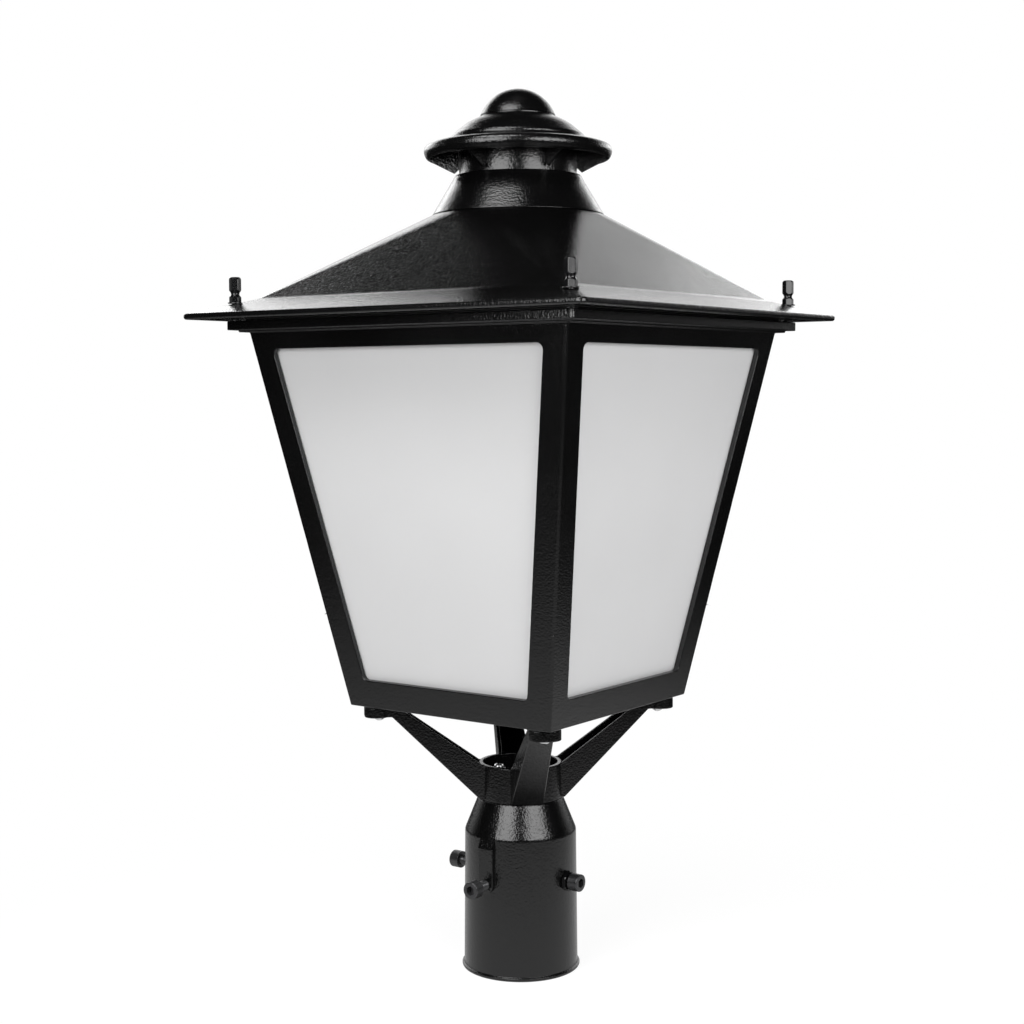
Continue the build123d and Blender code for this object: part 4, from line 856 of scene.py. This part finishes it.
# Pan-head screws: head radius, head height, shank radius in millimetres
M5, M4, M3 = (4.3, 3.6, 2.4), (3.9, 3.0, 1.9), (2.8, 2.0, 1.4)
SCREW_SETS = {
    "arm_screws": ("chrome", M5), "hub_screws": ("chrome", M4), "cone_screws": ("zinc", M4),
    "gear_screws": ("zinc", M4), "retainer_screws": ("zinc", M3), "tray_screws": ("zinc", M3),
    "lens_screws": ("zinc", M3), "bracket_screws": ("zinc", M3),
}


def loose_parts(mesh):
    """Vertex places of each separate solid of a CAD mesh, in an order that never changes."""
    work = bmesh.new()
    work.from_mesh(mesh)
    bmesh.ops.remove_doubles(work, verts=work.verts, dist=CAD_WELD)
    work.verts.index_update()
    met, parts = set(), []
    for start in work.verts:
        if start.index in met:
            continue
        met.add(start.index)
        reached = [start]
        for vertex in reached:
            for link in vertex.link_edges:
                other = link.other_vert(vertex)
                if other.index not in met:
                    met.add(other.index)
                    reached.append(other)
        parts.append([vertex.co.copy() for vertex in reached])
    work.free()
    return sorted(parts, key=lambda part: tuple(round(x, 5) for x in sum(part, Vector())))


# Vertices farther from a screw's axis than this share of its head radius are on the head
HEAD_SHARE = 0.85
# Rounds in which the axis is found, and the digits kept of it: what is beyond them is noise,
# and a head that faces straight down would be turned by it
AXIS_ROUNDS, AXIS_DIGITS = 40, 5


def screw_axis(places, head_radius):
    """Seat, outward direction and length of a screw, from the places of its vertices."""
    centre = sum(places, Vector()) / len(places)
    spread = [place - centre for place in places]
    far = max(spread, key=lambda way: way.length)
    axis = far.normalized()
    for _ in range(AXIS_ROUNDS):
        axis = sum((way * way.dot(axis) for way in spread), Vector()).normalized()
    axis = Vector([round(value, AXIS_DIGITS) for value in axis]).normalized()
    along = [way.dot(axis) for way in spread]
    wide = [way.dot(axis) for way in spread
            if (way - axis * way.dot(axis)).length > head_radius * HEAD_SHARE]
    if sum(wide) / len(wide) < 0:
        axis = -axis
        along = [-value for value in along]
        wide = [-value for value in wide]
    seat = centre + axis * min(wide)
    return seat, axis, min(wide) - min(along)


class LANTERN_OT_pan_screws(bpy.types.Operator):
    """Makes the pan-head screws that hold the arms, hub, cone, trays, lens and retainers"""

    bl_idname = "lantern.pan_screws"
    bl_label = "Pan-head screws"

    def execute(self, context):
        shape = context.scene.lantern_shape
        for seed, (node, (finish, sizes)) in enumerate(SCREW_SETS.items()):
            head_radius, head_height, shank_radius = (size * MM for size in sizes)
            seats, ways, length = [], [], 0.0
            for places in loose_parts(NODES[node].data):
                seat, way, length = screw_axis(places, head_radius)
                seats.append(seat)
                ways.append(way)
            points = bpy.data.meshes.new(node)
            points.from_pydata(seats, [], [])
            out = points.attributes.new("out", "FLOAT_VECTOR", "POINT")
            for index, way in enumerate(ways):
                out.data[index].vector = way
            mesh = run_tree(points, TREES["pan_screws"], FINISHES[finish],
                            {"Head radius": head_radius, "Head height": head_height,
                             "Shank radius": shank_radius, "Length": length,
                             "Thread pitch": shape.thread_pitch, "Seed": seed})
            fitted(node + "_set", cleaned(mesh), node, finish, 42.0)
        return {"FINISHED"}


# Clamp screws, in millimetres: radius and height of the head, width across flats and depth
# of the socket, and distance of the tip from the post axis. The steps in a quarter turn of
# the head are also its grooves, which leave the given share of its radius
CLAMP_HEAD, CLAMP_SOCKET = (6.7, 8.4), (6.6, 4.6)
CLAMP_SHANK, CLAMP_HEIGHT, CLAMP_TIP = 4.0, 73.2, 39.6
CLAMP_STEPS, CLAMP_GROOVE = 13, 0.965
THREAD_ROOT = 0.93
# Turn about the post in degrees, and distance of the head's face from the post axis
CLAMP_SIDES = {"front": (-90.0, 65.1), "right": (0.0, 56.9), "back": (90.0, 61.0),
               "left": (180.0, 66.5)}


def lying(mesh, turn):
    """Lays an upright mesh on its side, pointing away from the post at the clamp height."""
    level = Matrix.Translation((0, 0, CLAMP_HEIGHT * MM))
    away = Matrix.Rotation(math.radians(turn), 4, "Z") @ Matrix.Rotation(math.pi / 2, 4, "Y")
    mesh.transform(level @ away)
    return mesh


# Post fitter, in millimetres: (radius, height, setback)
FITTER_OUTLINE = [
    (39.0, 0.0, 0.4), (45.2, 0.0, 0.5), (46.1, 0.9, 0.5), (46.1, 2.8, 0.8), (44.5, 2.8, 0.8),
    (43.4, 108.4, 1.4), (33.4, 133.1, 0.6), (32.6, 134.0, 0.4), (9.0, 134.0, 0.4),
    (9.0, 129.0, 0.4), (26.0, 129.0, 1.5), (34.0, 104.0, 1.5), (39.0, 104.0, 1.0),
]
PAD_ROOT, PAD_FACE, PAD_HALF_WIDTH = 41.0, 46.36, 6.65
PAD_TOP_ROOT, PAD_TOP_FACE, PAD_EDGE, PAD_STEPS = 113.0, 101.0, 0.6, 16
CLAMP_HOLE, CLAMP_HOLE_REACH = 4.06, (30.0, 52.0)
HUB_SCREW_PLACE, HUB_SCREW_HOLE, HUB_HOLE_REACH = 12.02, 1.95, (126.0, 136.0)


def clamp_pad(steps):
    """The raised pad of the front clamp screw: round below, cut to the shoulder above."""
    work = bmesh.new()
    rings = []
    for reach, top in ((PAD_ROOT, PAD_TOP_ROOT), (PAD_FACE, PAD_TOP_FACE)):
        outline = [(PAD_HALF_WIDTH, top)]
        for step in range(steps + 1):
            angle = math.pi * step / steps
            outline.append((PAD_HALF_WIDTH * math.cos(angle),
                            CLAMP_HEIGHT - PAD_HALF_WIDTH * math.sin(angle)))
        outline.append((-PAD_HALF_WIDTH, top))
        rings.append([work.verts.new(Vector((x, -reach, z)) * MM) for x, z in outline])
    back, front = rings
    work.faces.new(back)
    face = work.faces.new(reversed(front))
    for index in range(len(back)):
        work.faces.new((back[index - 1], front[index - 1], front[index], back[index]))
    bmesh.ops.recalc_face_normals(work, faces=work.faces)
    bmesh.ops.bevel(work, geom=face.edges[:], offset=PAD_EDGE * MM, segments=3, profile=0.5,
                    affect="EDGES")
    return mesh_of("pad", work)


class LANTERN_OT_post_fitter(bpy.types.Operator):
    """Makes the post fitter with its rolled lip, shoulder, clamp pad and holes"""

    bl_idname = "lantern.post_fitter"
    bl_label = "Post fitter"

    def execute(self, context):
        collar = combined(cast("fitter", turned(FITTER_OUTLINE)), clamp_pad(PAD_STEPS), "UNION")
        holes = [lying(prism("hole", 32, CLAMP_HOLE, *CLAMP_HOLE_REACH), turn)
                 for turn, _ in CLAMP_SIDES.values()]
        holes += [prism("hole", 24, HUB_SCREW_HOLE, *HUB_HOLE_REACH, place=(place, place))
                  for place in (-HUB_SCREW_PLACE, HUB_SCREW_PLACE)]
        collar = combined(collar, joined("holes", holes), "DIFFERENCE")
        fitted("post_fitter_casting", collar, "post_fitter", "coat")
        return {"FINISHED"}


def threaded(low, high, radius, pitch):
    """Outline corners of a threaded run, going up."""
    count = max(1, round((high - low) / pitch))
    run = []
    for index in range(count):
        foot = low + (high - low) * index / count
        run += [(radius * THREAD_ROOT, foot, 0.0), (radius, foot + 0.5 * (high - low) / count, 0.0)]
    return run


class LANTERN_OT_clamp_screws(bpy.types.Operator):
    """Makes the four socket-head clamp screws of the post fitter"""

    bl_idname = "lantern.clamp_screws"
    bl_label = "Clamp screws"

    def execute(self, context):
        shape = context.scene.lantern_shape
        radius, height = CLAMP_HEAD
        flats, depth = CLAMP_SOCKET
        pitch = shape.thread_pitch / MM * 1.5
        for side, (turn, face) in CLAMP_SIDES.items():
            seat = face - height
            outline = [(0.0, CLAMP_TIP, 0.0), (CLAMP_SHANK * 0.8, CLAMP_TIP, 0.0)]
            outline += threaded(CLAMP_TIP + 0.8, seat - 1.0, CLAMP_SHANK, pitch)
            outline += [(CLAMP_SHANK, seat - 0.8, 0.0), (CLAMP_SHANK, seat, 0.0),
                        (radius, seat, 0.4), (radius, seat + 1.2, 0.0),
                        (radius, face - 2.2, 0.0), (radius, face, 1.0), (0.0, face, 0.0)]
            screw = swept("screw", turned(outline), FINISHES["oxide"], CLAMP_STEPS, 4)
            knurled(screw, seat + 1.0, face - 1.8, radius)
            floor, above = face - depth, face + 1.0
            cavity = [(0.0, floor, 0.0), (flats * 0.5, floor, 0.0), (flats * 0.62, above, 0.0),
                      (0.0, above, 0.0)]
            socket = swept("socket", turned(cavity), FINISHES["oxide"], 8, 2)
            key = prism("key", 6, flats / math.sqrt(3), floor - 1.0, above, 30.0)
            socket = combined(socket, key, "INTERSECT")
            screw = combined(screw, socket, "DIFFERENCE")
            node = "clamp_screw_" + side
            fitted(node + "_fine", lying(screw, turn), node, "oxide", 38.0)
        return {"FINISHED"}


def knurled(mesh, low, high, radius):
    """Presses straight grooves into the side of a screw head."""
    for vertex in mesh.vertices:
        off_axis = math.hypot(vertex.co.x, vertex.co.y)
        if low * MM < vertex.co.z < high * MM and off_axis > 0.97 * radius * MM:
            turn = math.atan2(vertex.co.y, vertex.co.x) / (math.pi / 2) * CLAMP_STEPS
            if round(turn) % 2:
                vertex.co.x *= CLAMP_GROOVE
                vertex.co.y *= CLAMP_GROOVE


# Jam nuts, in millimetres: distance of the seat from the post axis, height, width across
# flats, and height and remaining share of the chamfered corners
NUT_SEAT, NUT_HEIGHT, NUT_FLATS, NUT_CHAMFER, NUT_CORNER = 44.06, 3.0, 14.0, 0.7, 0.93


class LANTERN_OT_jam_nuts(bpy.types.Operator):
    """Makes the jam nuts of the clamp screws"""

    bl_idname = "lantern.jam_nuts"
    bl_label = "Jam nuts"

    def execute(self, context):
        tip = NUT_FLATS / math.sqrt(3)
        top = NUT_SEAT + NUT_HEIGHT
        outline = [(CLAMP_HOLE, NUT_SEAT, 0.5), (tip * NUT_CORNER, NUT_SEAT, 0.0),
                   (tip, NUT_SEAT + NUT_CHAMFER, 0.0), (tip, top - NUT_CHAMFER, 0.0),
                   (tip * NUT_CORNER, top, 0.0), (CLAMP_HOLE, top, 0.5)]
        nuts = []
        for turn in (0.0, 90.0, 180.0):
            ring = swept("ring", turned(outline), FINISHES["stud"], 12, 2)
            flats = prism("flats", 6, tip, NUT_SEAT - 1.0, top + 1.0, 30.0)
            nuts.append(lying(combined(ring, flats, "INTERSECT"), turn))
        fitted("jam_nut_set", joined("nuts", nuts), "clamp_jam_nuts", "stud", 30.0)
        return {"FINISHED"}


# Roof studs, in millimetres: width across flats, turn in degrees, heights of the bar that
# gives the flats, and the turned outline (radius, height, setback)
STUD_FLATS, STUD_TURN, STUD_BAR = 8.0, 12.0, (490.0, 540.0)
STUD_OUTLINE = [
    (0.0, 496.6, 0.0), (1.9, 496.6, 0.0), (2.45, 497.3, 0.0), (2.45, 516.0, 0.3),
    (4.5, 516.0, 0.3), (4.5, 520.0, 0.7), (3.2, 521.6, 0.7), (3.2, 523.2, 0.7),
    (4.5, 524.8, 0.7), (4.5, 533.4, 0.6), (3.7, 534.8, 0.6), (0.0, 534.8, 0.0),
]


class LANTERN_OT_roof_studs(bpy.types.Operator):
    """Makes the four waisted hexagonal studs that hold the roof down"""

    bl_idname = "lantern.roof_studs"
    bl_label = "Roof studs"

    def execute(self, context):
        tip = STUD_FLATS / math.sqrt(3)
        corners = {"front_right": (1, -1), "back_right": (1, 1), "back_left": (-1, 1),
                   "front_left": (-1, -1)}
        for name, (x_sign, y_sign) in corners.items():
            body = swept("stud", turned(STUD_OUTLINE), FINISHES["stud"], 12, 3)
            bar = prism("bar", 6, tip, *STUD_BAR, STUD_TURN)
            body = combined(body, bar, "INTERSECT")
            place = Vector((x_sign * STUD_PLACE, y_sign * STUD_PLACE, 0)) * MM
            body.transform(Matrix.Translation(place))
            fitted("waisted_stud_" + name, body, "roof_stud_" + name, "stud", 25.0)
        return {"FINISHED"}


# Light chips, in millimetres, and how many there are in a row and in a column
CHIP_SIZE, CHIP_HEIGHT, CHIP_PITCH, CHIP_ROWS = 3.5, 0.9, 17.0, 6
BOARD_UNDERSIDE = 508.4


class LANTERN_OT_light_chips(bpy.types.Operator):
    """Makes the light chips under the board"""

    bl_idname = "lantern.light_chips"
    bl_label = "Light chips"

    def execute(self, context):
        low = BOARD_UNDERSIDE - CHIP_HEIGHT
        case = prism("case", 4, CHIP_SIZE / math.sqrt(2), low + 0.2, BOARD_UNDERSIDE, 45.0)
        gel = prism("gel", 12, CHIP_SIZE * 0.4, low, low + 0.25)
        chip = joined("chip", [case, gel])
        mesh = run_tree(chip, TREES["grid"], FINISHES["chip"],
                        {"Columns": CHIP_ROWS, "Rows": CHIP_ROWS, "Pitch X": CHIP_PITCH * MM,
                         "Pitch Y": CHIP_PITCH * MM})
        fitted("light_chip_array", cleaned(mesh), "light_chips", "chip")
        return {"FINISHED"}


# Heat sink, in millimetres: its plate, the height, number and thickness of its fins, and its
# place
SINK_WIDTH, SINK_LENGTH, SINK_BASE, SINK_FIN = 100.0, 96.0, 5.0, 18.0
SINK_FINS, SINK_FIN_THICKNESS, SINK_Y, SINK_LOW, SINK_EDGE = 9, 2.4, -34.0, 512.0, 0.4


def block(name, low, high):
    """Upright box between two corners, in millimetres."""
    work = bmesh.new()
    bmesh.ops.create_cube(work, size=1.0)
    size = [(high[axis] - low[axis]) * MM for axis in range(3)]
    middle = [(high[axis] + low[axis]) / 2 * MM for axis in range(3)]
    bmesh.ops.transform(work, matrix=Matrix.Translation(middle) @ Matrix.Diagonal((*size, 1.0)),
                        verts=work.verts)
    return mesh_of(name, work)


class LANTERN_OT_heat_sink(bpy.types.Operator):
    """Makes the finned heat sink on the gear tray"""

    bl_idname = "lantern.heat_sink"
    bl_label = "Heat sink"

    def execute(self, context):
        half_x, half_y = SINK_WIDTH / 2, SINK_LENGTH / 2
        foot = SINK_LOW + SINK_BASE
        base = block("base", (-half_x, SINK_Y - half_y, SINK_LOW), (half_x, SINK_Y + half_y, foot))
        fin = block("fin", (-SINK_FIN_THICKNESS / 2, SINK_Y - half_y, foot - 1.0),
                    (SINK_FIN_THICKNESS / 2, SINK_Y + half_y, foot + SINK_FIN))
        pitch = (SINK_WIDTH - SINK_FIN_THICKNESS) / (SINK_FINS - 1)
        fins = run_tree(fin, TREES["grid"], FINISHES["aluminium"],
                        {"Columns": SINK_FINS, "Rows": 1, "Pitch X": pitch * MM, "Pitch Y": 0.0})
        sink = linked("sink", combined(base, fins, "UNION"))
        bevel = sink.modifiers.new("edges", "BEVEL")
        bevel.width = SINK_EDGE * MM
        bevel.segments = 2
        bevel.limit_method = "ANGLE"
        fitted("finned_heat_sink", cleaned(taken(sink)), "heat_sink", "aluminium")
        return {"FINISHED"}


# Studio

WHITE = (1, 1, 1, 1)


def softbox(name, place, aim_height, along, size, brightness, mirrored):
    """A rectangular lamp; place and along are metres to the camera's right, towards it and up."""
    values = bpy.context.scene.lantern_stage
    across, ahead = math.cos(values.camera_azimuth), math.sin(values.camera_azimuth)
    turn = Matrix(((across, ahead, 0), (ahead, -across, 0), (0, 0, 1)))
    lamp = bpy.data.lights.new(name, "AREA")
    lamp.shape = "RECTANGLE"
    lamp.size, lamp.size_y = size
    lamp.energy = brightness * math.pi * size[0] * size[1] * values.lamp_level
    holder = linked(name, lamp)
    centre = turn @ Vector(place)
    back = (centre - Vector((0, 0, aim_height))).normalized()
    side = turn @ Vector(along)
    side = (side - back * side.dot(back)).normalized()
    frame_of_lamp = Matrix((side, back.cross(side), back)).transposed().to_4x4()
    holder.matrix_world = Matrix.Translation(centre) @ frame_of_lamp
    holder.visible_camera = False
    holder.visible_glossy = mirrored


# Place (to the right, towards the camera, up), height aimed at, direction of the long side,
# length and width in metres, radiance where 1 is white, and whether the gloss mirrors it
LAMPS = {
    "left_box": ((-0.54, 0.8, 0.7), 0.5, (1, 0, 0), (0.7, 0.62), 5.2, True),
    "right_box": ((0.56, 0.79, 0.68), 0.5, (1, 0, 0), (0.8, 0.46), 5.4, True),
    "overhead_box": ((-0.42, 0.7, 1.62), 0.62, (0.9, 0.42, 0), (0.9, 0.56), 5.8, True),
    "left_high_box": ((-0.73, -1.08, 1.27), 0.55, (1, 0, 0), (0.8, 0.42), 1.6, True),
    "left_rim_box": ((-0.86, -0.98, 0.88), 0.6, (1, 0, 0), (0.9, 0.36), 2.6, True),
    "right_rim_box": ((0.84, -1.0, 0.86), 0.6, (1, 0, 0), (0.9, 0.3), 2.4, True),
    "right_fill": ((1.16, 0.31, 0.4), 0.35, (0, 1, 0), (0.8, 0.8), 1.8, False),
}


def studio_camera(values):
    """The camera, placed and turned as the photographer had it."""
    azimuth, pitch, roll = values.camera_azimuth, values.camera_pitch, values.camera_roll
    ahead = Vector((-math.sin(azimuth) * math.cos(pitch), math.cos(azimuth) * math.cos(pitch),
                    -math.sin(pitch)))
    right = ahead.cross(Vector((0, 0, 1))).normalized()
    up = right.cross(ahead)
    right, up = (right * math.cos(roll) + up * math.sin(roll),
                 up * math.cos(roll) - right * math.sin(roll))
    camera = linked("camera", bpy.data.cameras.new("camera"))
    turn = Matrix((right, up, -ahead)).transposed().to_4x4()
    camera.matrix_world = Matrix.Translation(Vector(values.camera_place)) @ turn
    camera.data.sensor_width = 36.0
    camera.data.lens = values.camera_lens
    camera.data.clip_start = 0.05
    bpy.context.scene.camera = camera


def mixed(tree, factor, first, second):
    """Output of one Mix Shader node."""
    return put(tree, "ShaderNodeMixShader", {0: factor, 1: first, 2: second}).outputs[0]


def by_ray(tree, others, mirrored, shown):
    """Picks a shader: shown to camera and transmission rays, mirrored to glossy rays."""
    path = put(tree, "ShaderNodeLightPath").outputs
    seen = calc(tree, "MAXIMUM", path["Is Camera Ray"], path["Is Transmission Ray"])
    return mixed(tree, seen, mixed(tree, path["Is Glossy Ray"], others, mirrored), shown)


# The floor, in metres from the post axis: where the contact shadow shows and how strongly,
# and over what distance the floor's reflection fades, and from and to what strength
SHADOW_REACH, SHADOW_SHARE = (0.08, 0.5), (0.12, 0.0)
MIRROR_REACH, MIRROR_LEVEL = (0.1, 1.25), (0.68, 0.015)


def studio_floor():
    """White paper whose reflection fades into the dark studio with distance."""
    bpy.ops.mesh.primitive_grid_add(x_subdivisions=1, y_subdivisions=1, size=60.0,
                                    location=(0, 0, -0.0002))
    floor = bpy.context.active_object
    floor.name = "floor"
    material, tree, output = new_material("floor_paper")
    where = put(tree, "ShaderNodeTexCoord").outputs["Object"]
    away = put(tree, "ShaderNodeVectorMath", {0: where}, operation="LENGTH").outputs["Value"]
    paper = put(tree, "ShaderNodeBsdfDiffuse", {"Color": (0.8, 0.8, 0.8, 1)}).outputs[0]
    doubled = put(tree, "ShaderNodeAddShader", {0: paper, 1: paper}).outputs[0]
    white = put(tree, "ShaderNodeEmission", {"Color": WHITE, "Strength": 1.0}).outputs[0]
    shadow = ramp(tree, away, SHADOW_REACH, SHADOW_SHARE, "SMOOTHSTEP")
    fade = ramp(tree, away, MIRROR_REACH, MIRROR_LEVEL, "SMOOTHERSTEP")
    mirrored = put(tree, "ShaderNodeEmission", {"Color": WHITE, "Strength": fade}).outputs[0]
    shown = mixed(tree, shadow, white, doubled)
    tree.links.new(by_ray(tree, paper, mirrored, shown), output.inputs[0])
    floor.data.materials.append(material)


# What the gloss sees: the left and right end of the wall behind the lantern, which draws in
# by a share of the height, and the heights at which its band begins and its ceiling ends it
WALL_EDGE, WALL_FULL, WALL_LEAN = 0.14, 0.88, 0.75
BAND_HEIGHTS, BAND_LEVEL = (0.12, 0.4), (0.7, 2.0)
CEILING_HEIGHTS, CEILING_LEVEL = (0.34, 0.72), (1.0, 0.08)
DARK_LEVEL, DIM_LEVEL = 0.01, 0.08


def studio_world(scene, azimuth):
    """White to the camera, and to the gloss a dark studio with a white wall behind the lantern."""
    world = bpy.data.worlds.new("studio")
    scene.world = world
    world.use_nodes = True
    tree = world.node_tree
    tree.nodes.clear()
    plus, _, times, _ = arithmetic(tree)
    way = put(tree, "ShaderNodeTexCoord").outputs["Generated"]
    back = put(tree, "ShaderNodeVectorMath",
               {0: way, 1: (-math.sin(azimuth), math.cos(azimuth), 0.0)},
               operation="DOT_PRODUCT").outputs["Value"]
    height = put(tree, "ShaderNodeSeparateXYZ", {0: way}).outputs[2]
    edge = plus(times(height, WALL_LEAN), WALL_EDGE)
    behind = ramp(tree, back, (edge, WALL_FULL), (0.0, 1.0), "SMOOTHSTEP")
    band = ramp(tree, height, BAND_HEIGHTS, BAND_LEVEL, "SMOOTHSTEP")
    ceiling = ramp(tree, height, CEILING_HEIGHTS, CEILING_LEVEL, "SMOOTHSTEP")
    wall = plus(DARK_LEVEL, times(behind, times(band, ceiling)))
    others, mirrored, shown = [
        put(tree, "ShaderNodeBackground", {"Color": WHITE, "Strength": strength}).outputs[0]
        for strength in (DIM_LEVEL, wall, 1.0)]
    out = tree.nodes.new("ShaderNodeOutputWorld")
    tree.links.new(by_ray(tree, others, mirrored, shown), out.inputs["Surface"])


class LANTERN_OT_stage(bpy.types.Operator):
    """Makes the floor, the white surroundings, the lamps and the camera"""

    bl_idname = "lantern.stage"
    bl_label = "Lantern stage"

    def execute(self, context):
        values = context.scene.lantern_stage
        studio_camera(values)
        studio_floor()
        studio_world(context.scene, values.camera_azimuth)
        for name, values_of_lamp in LAMPS.items():
            softbox(name, *values_of_lamp)
        context.scene.view_settings.view_transform = "Standard"
        return {"FINISHED"}


class LANTERN_PT_panel(bpy.types.Panel):
    """Lists the lantern's steps in the 3D view's sidebar"""

    bl_idname = "LANTERN_PT_panel"
    bl_label = "Post top lantern"
    bl_space_type = "VIEW_3D"
    bl_region_type = "UI"
    bl_category = "Lantern"

    def draw(self, context):
        for step in STEPS:
            self.layout.operator(step)


OPERATORS = [
    LANTERN_OT_finishes, LANTERN_OT_trees, LANTERN_OT_roof, LANTERN_OT_vent_cone,
    LANTERN_OT_cap, LANTERN_OT_finial, LANTERN_OT_castings, LANTERN_OT_panes,
    LANTERN_OT_fine_edges, LANTERN_OT_pan_screws, LANTERN_OT_clamp_screws,
    LANTERN_OT_post_fitter, LANTERN_OT_jam_nuts, LANTERN_OT_roof_studs, LANTERN_OT_light_chips,
    LANTERN_OT_heat_sink, LANTERN_OT_stage,
]
STEPS = [operator.bl_idname for operator in OPERATORS]
GROUPS = {"lantern_finish": LanternFinish, "lantern_shape": LanternShape,
          "lantern_stage": LanternStage}
CLASSES = [*GROUPS.values(), *OPERATORS, LANTERN_PT_panel]


def register():
    for item in CLASSES:
        bpy.utils.register_class(item)
    for name, group in GROUPS.items():
        setattr(bpy.types.Scene, name, bpy.props.PointerProperty(type=group))


def unregister():
    for name in GROUPS:
        delattr(bpy.types.Scene, name)
    for item in reversed(CLASSES):
        bpy.utils.unregister_class(item)


def main():
    register()
    for step in STEPS:
        group, name = step.split(".")
        getattr(getattr(bpy.ops, group), name)()


if __name__ == "__main__":
    main()
